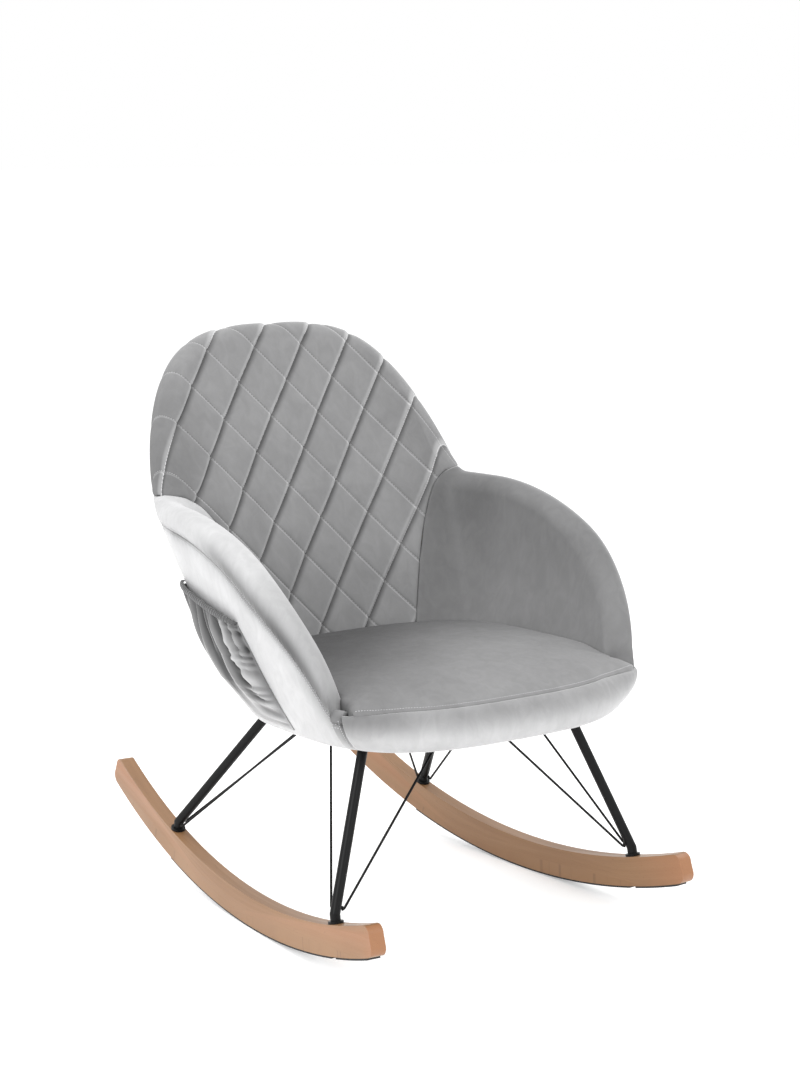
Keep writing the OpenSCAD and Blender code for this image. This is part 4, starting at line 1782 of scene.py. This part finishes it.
@dataclass
class HardParts:
    """CAD solids that keep their shape and get their finish.

    Attributes:
        finishes: Finish by the end of a node's name, the first match first.
    """

    finishes: tuple[tuple[str, Finish], ...] = (
        ("_strip", Finish.GRIP_RUBBER),
        ("rocker_bolts", Finish.ZINC_STEEL),
        ("seat_bolts", Finish.ZINC_STEEL),
        ("tee_nuts", Finish.ZINC_STEEL),
        ("_leg", Finish.BLACK_STEEL),
        ("_foot", Finish.BLACK_STEEL),
        ("_brace", Finish.BLACK_STEEL),
        ("_rail", Finish.BLACK_STEEL),
        ("_plate", Finish.BLACK_STEEL),
        ("seat_board", Finish.PLYWOOD),
        ("_panel", Finish.SHELL_PANEL),
        ("dust_cover", Finish.BLACK_CLOTH),
    )

    def build(self) -> None:
        """Dresses every CAD node that still shows."""
        for name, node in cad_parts.items():
            if node.hide_render:
                continue
            for ending, finish in self.finishes:
                if name.endswith(ending):
                    node.data.materials.clear()
                    node.data.materials.append(finish.material())
                    log.info("%s: %s", name, finish.name.lower())
                    break


# ---- studio --------------------------------------------------------------------------------


@dataclass(frozen=True)
class Lamp:
    """A soft square lamp.

    Attributes:
        name: The lamp's name.
        place: Where it stands, in metres.
        size: Its side.
        power: Its power in watts.
    """

    name: str
    place: tuple[float, float, float]
    size: float
    power: float

    def build(self, aim: Vector) -> None:
        """Puts up the lamp.

        Args:
            aim: The point that it faces.
        """
        data = bpy.data.lights.new(self.name, "AREA")
        data.size, data.energy = self.size, self.power
        lamp = show(self.name, data)
        lamp.location = self.place
        lamp.rotation_euler = (aim - Vector(self.place)).to_track_quat("-Z", "Y").to_euler()


@dataclass
class Studio:
    """Pale floor, soft lamps and the camera.

    Attributes:
        lamps: The lamps.
        aim: The point that they face, in metres.
        floor_half: Half the floor's side.
        floor_drop: How far the floor lies below the rockers' strips.
        camera_place: Where the camera stands.
        yaw: Its turn from straight along +Y, in radians.
        pitch: How far it looks down, in radians.
        lens: Its focal length, in millimetres.
        sensor: The width of its sensor.
        surround: Strength of the light from all round.
    """

    lamps: tuple[Lamp, ...] = (
        Lamp("key", (-2.9, -0.9, 2.0), 1.8, 52.0),
        Lamp("front", (0.4, -3.2, 2.2), 1.8, 30.0),
        Lamp("side", (3.0, 0.2, 1.6), 1.6, 34.0),
        Lamp("top", (-0.4, 1.2, 3.0), 1.8, 36.0),
    )
    aim: tuple[float, float, float] = (0.0, 0.0, 0.5)
    floor_half: float = 60.0
    floor_drop: float = 0.0006
    camera_place: tuple[float, float, float] = (-2.1385, -3.0694, 1.2521)
    yaw: float = 0.610
    pitch: float = 0.171
    lens: float = 79.57
    sensor: float = 36.0
    surround: float = 1.0

    def build(self) -> None:
        """Sets up the floor, the lamps, the surround and the camera."""
        self.floor()
        for lamp in self.lamps:
            lamp.build(Vector(self.aim))
        world = bpy.data.worlds.new("studio")
        world.use_nodes = True
        back = world.node_tree.nodes["Background"]
        back.inputs[0].default_value = (1.0, 1.0, 1.0, 1.0)
        back.inputs[1].default_value = self.surround
        bpy.context.scene.world = world
        bpy.context.scene.view_settings.view_transform = "Standard"
        self.camera()

    def floor(self) -> None:
        """Lays the floor."""
        made = bmesh.new()
        bmesh.ops.create_grid(made, x_segments=1, y_segments=1, size=self.floor_half)
        bmesh.ops.translate(made, verts=made.verts, vec=(0, 0, -self.floor_drop))
        mesh = bpy.data.meshes.new("studio_floor")
        made.to_mesh(mesh)
        made.free()
        mesh.materials.append(Finish.FLOOR.material())
        show("studio_floor", mesh)

    def camera(self) -> None:
        """Sets up the camera."""
        data = bpy.data.cameras.new("camera")
        data.lens, data.sensor_width = self.lens, self.sensor
        camera = show("camera", data)
        camera.location = self.camera_place
        ahead = math.cos(self.pitch)
        look = Vector((math.sin(self.yaw) * ahead, math.cos(self.yaw) * ahead, -math.sin(self.pitch)))
        camera.rotation_euler = look.to_track_quat("-Z", "Y").to_euler()
        bpy.context.scene.camera = camera


def main() -> None:
    """Builds the chair and the studio."""
    Studio().build()
    Upholstery().build()
    Rockers().build()
    HardParts().build()


if __name__ == "__main__":
    main()
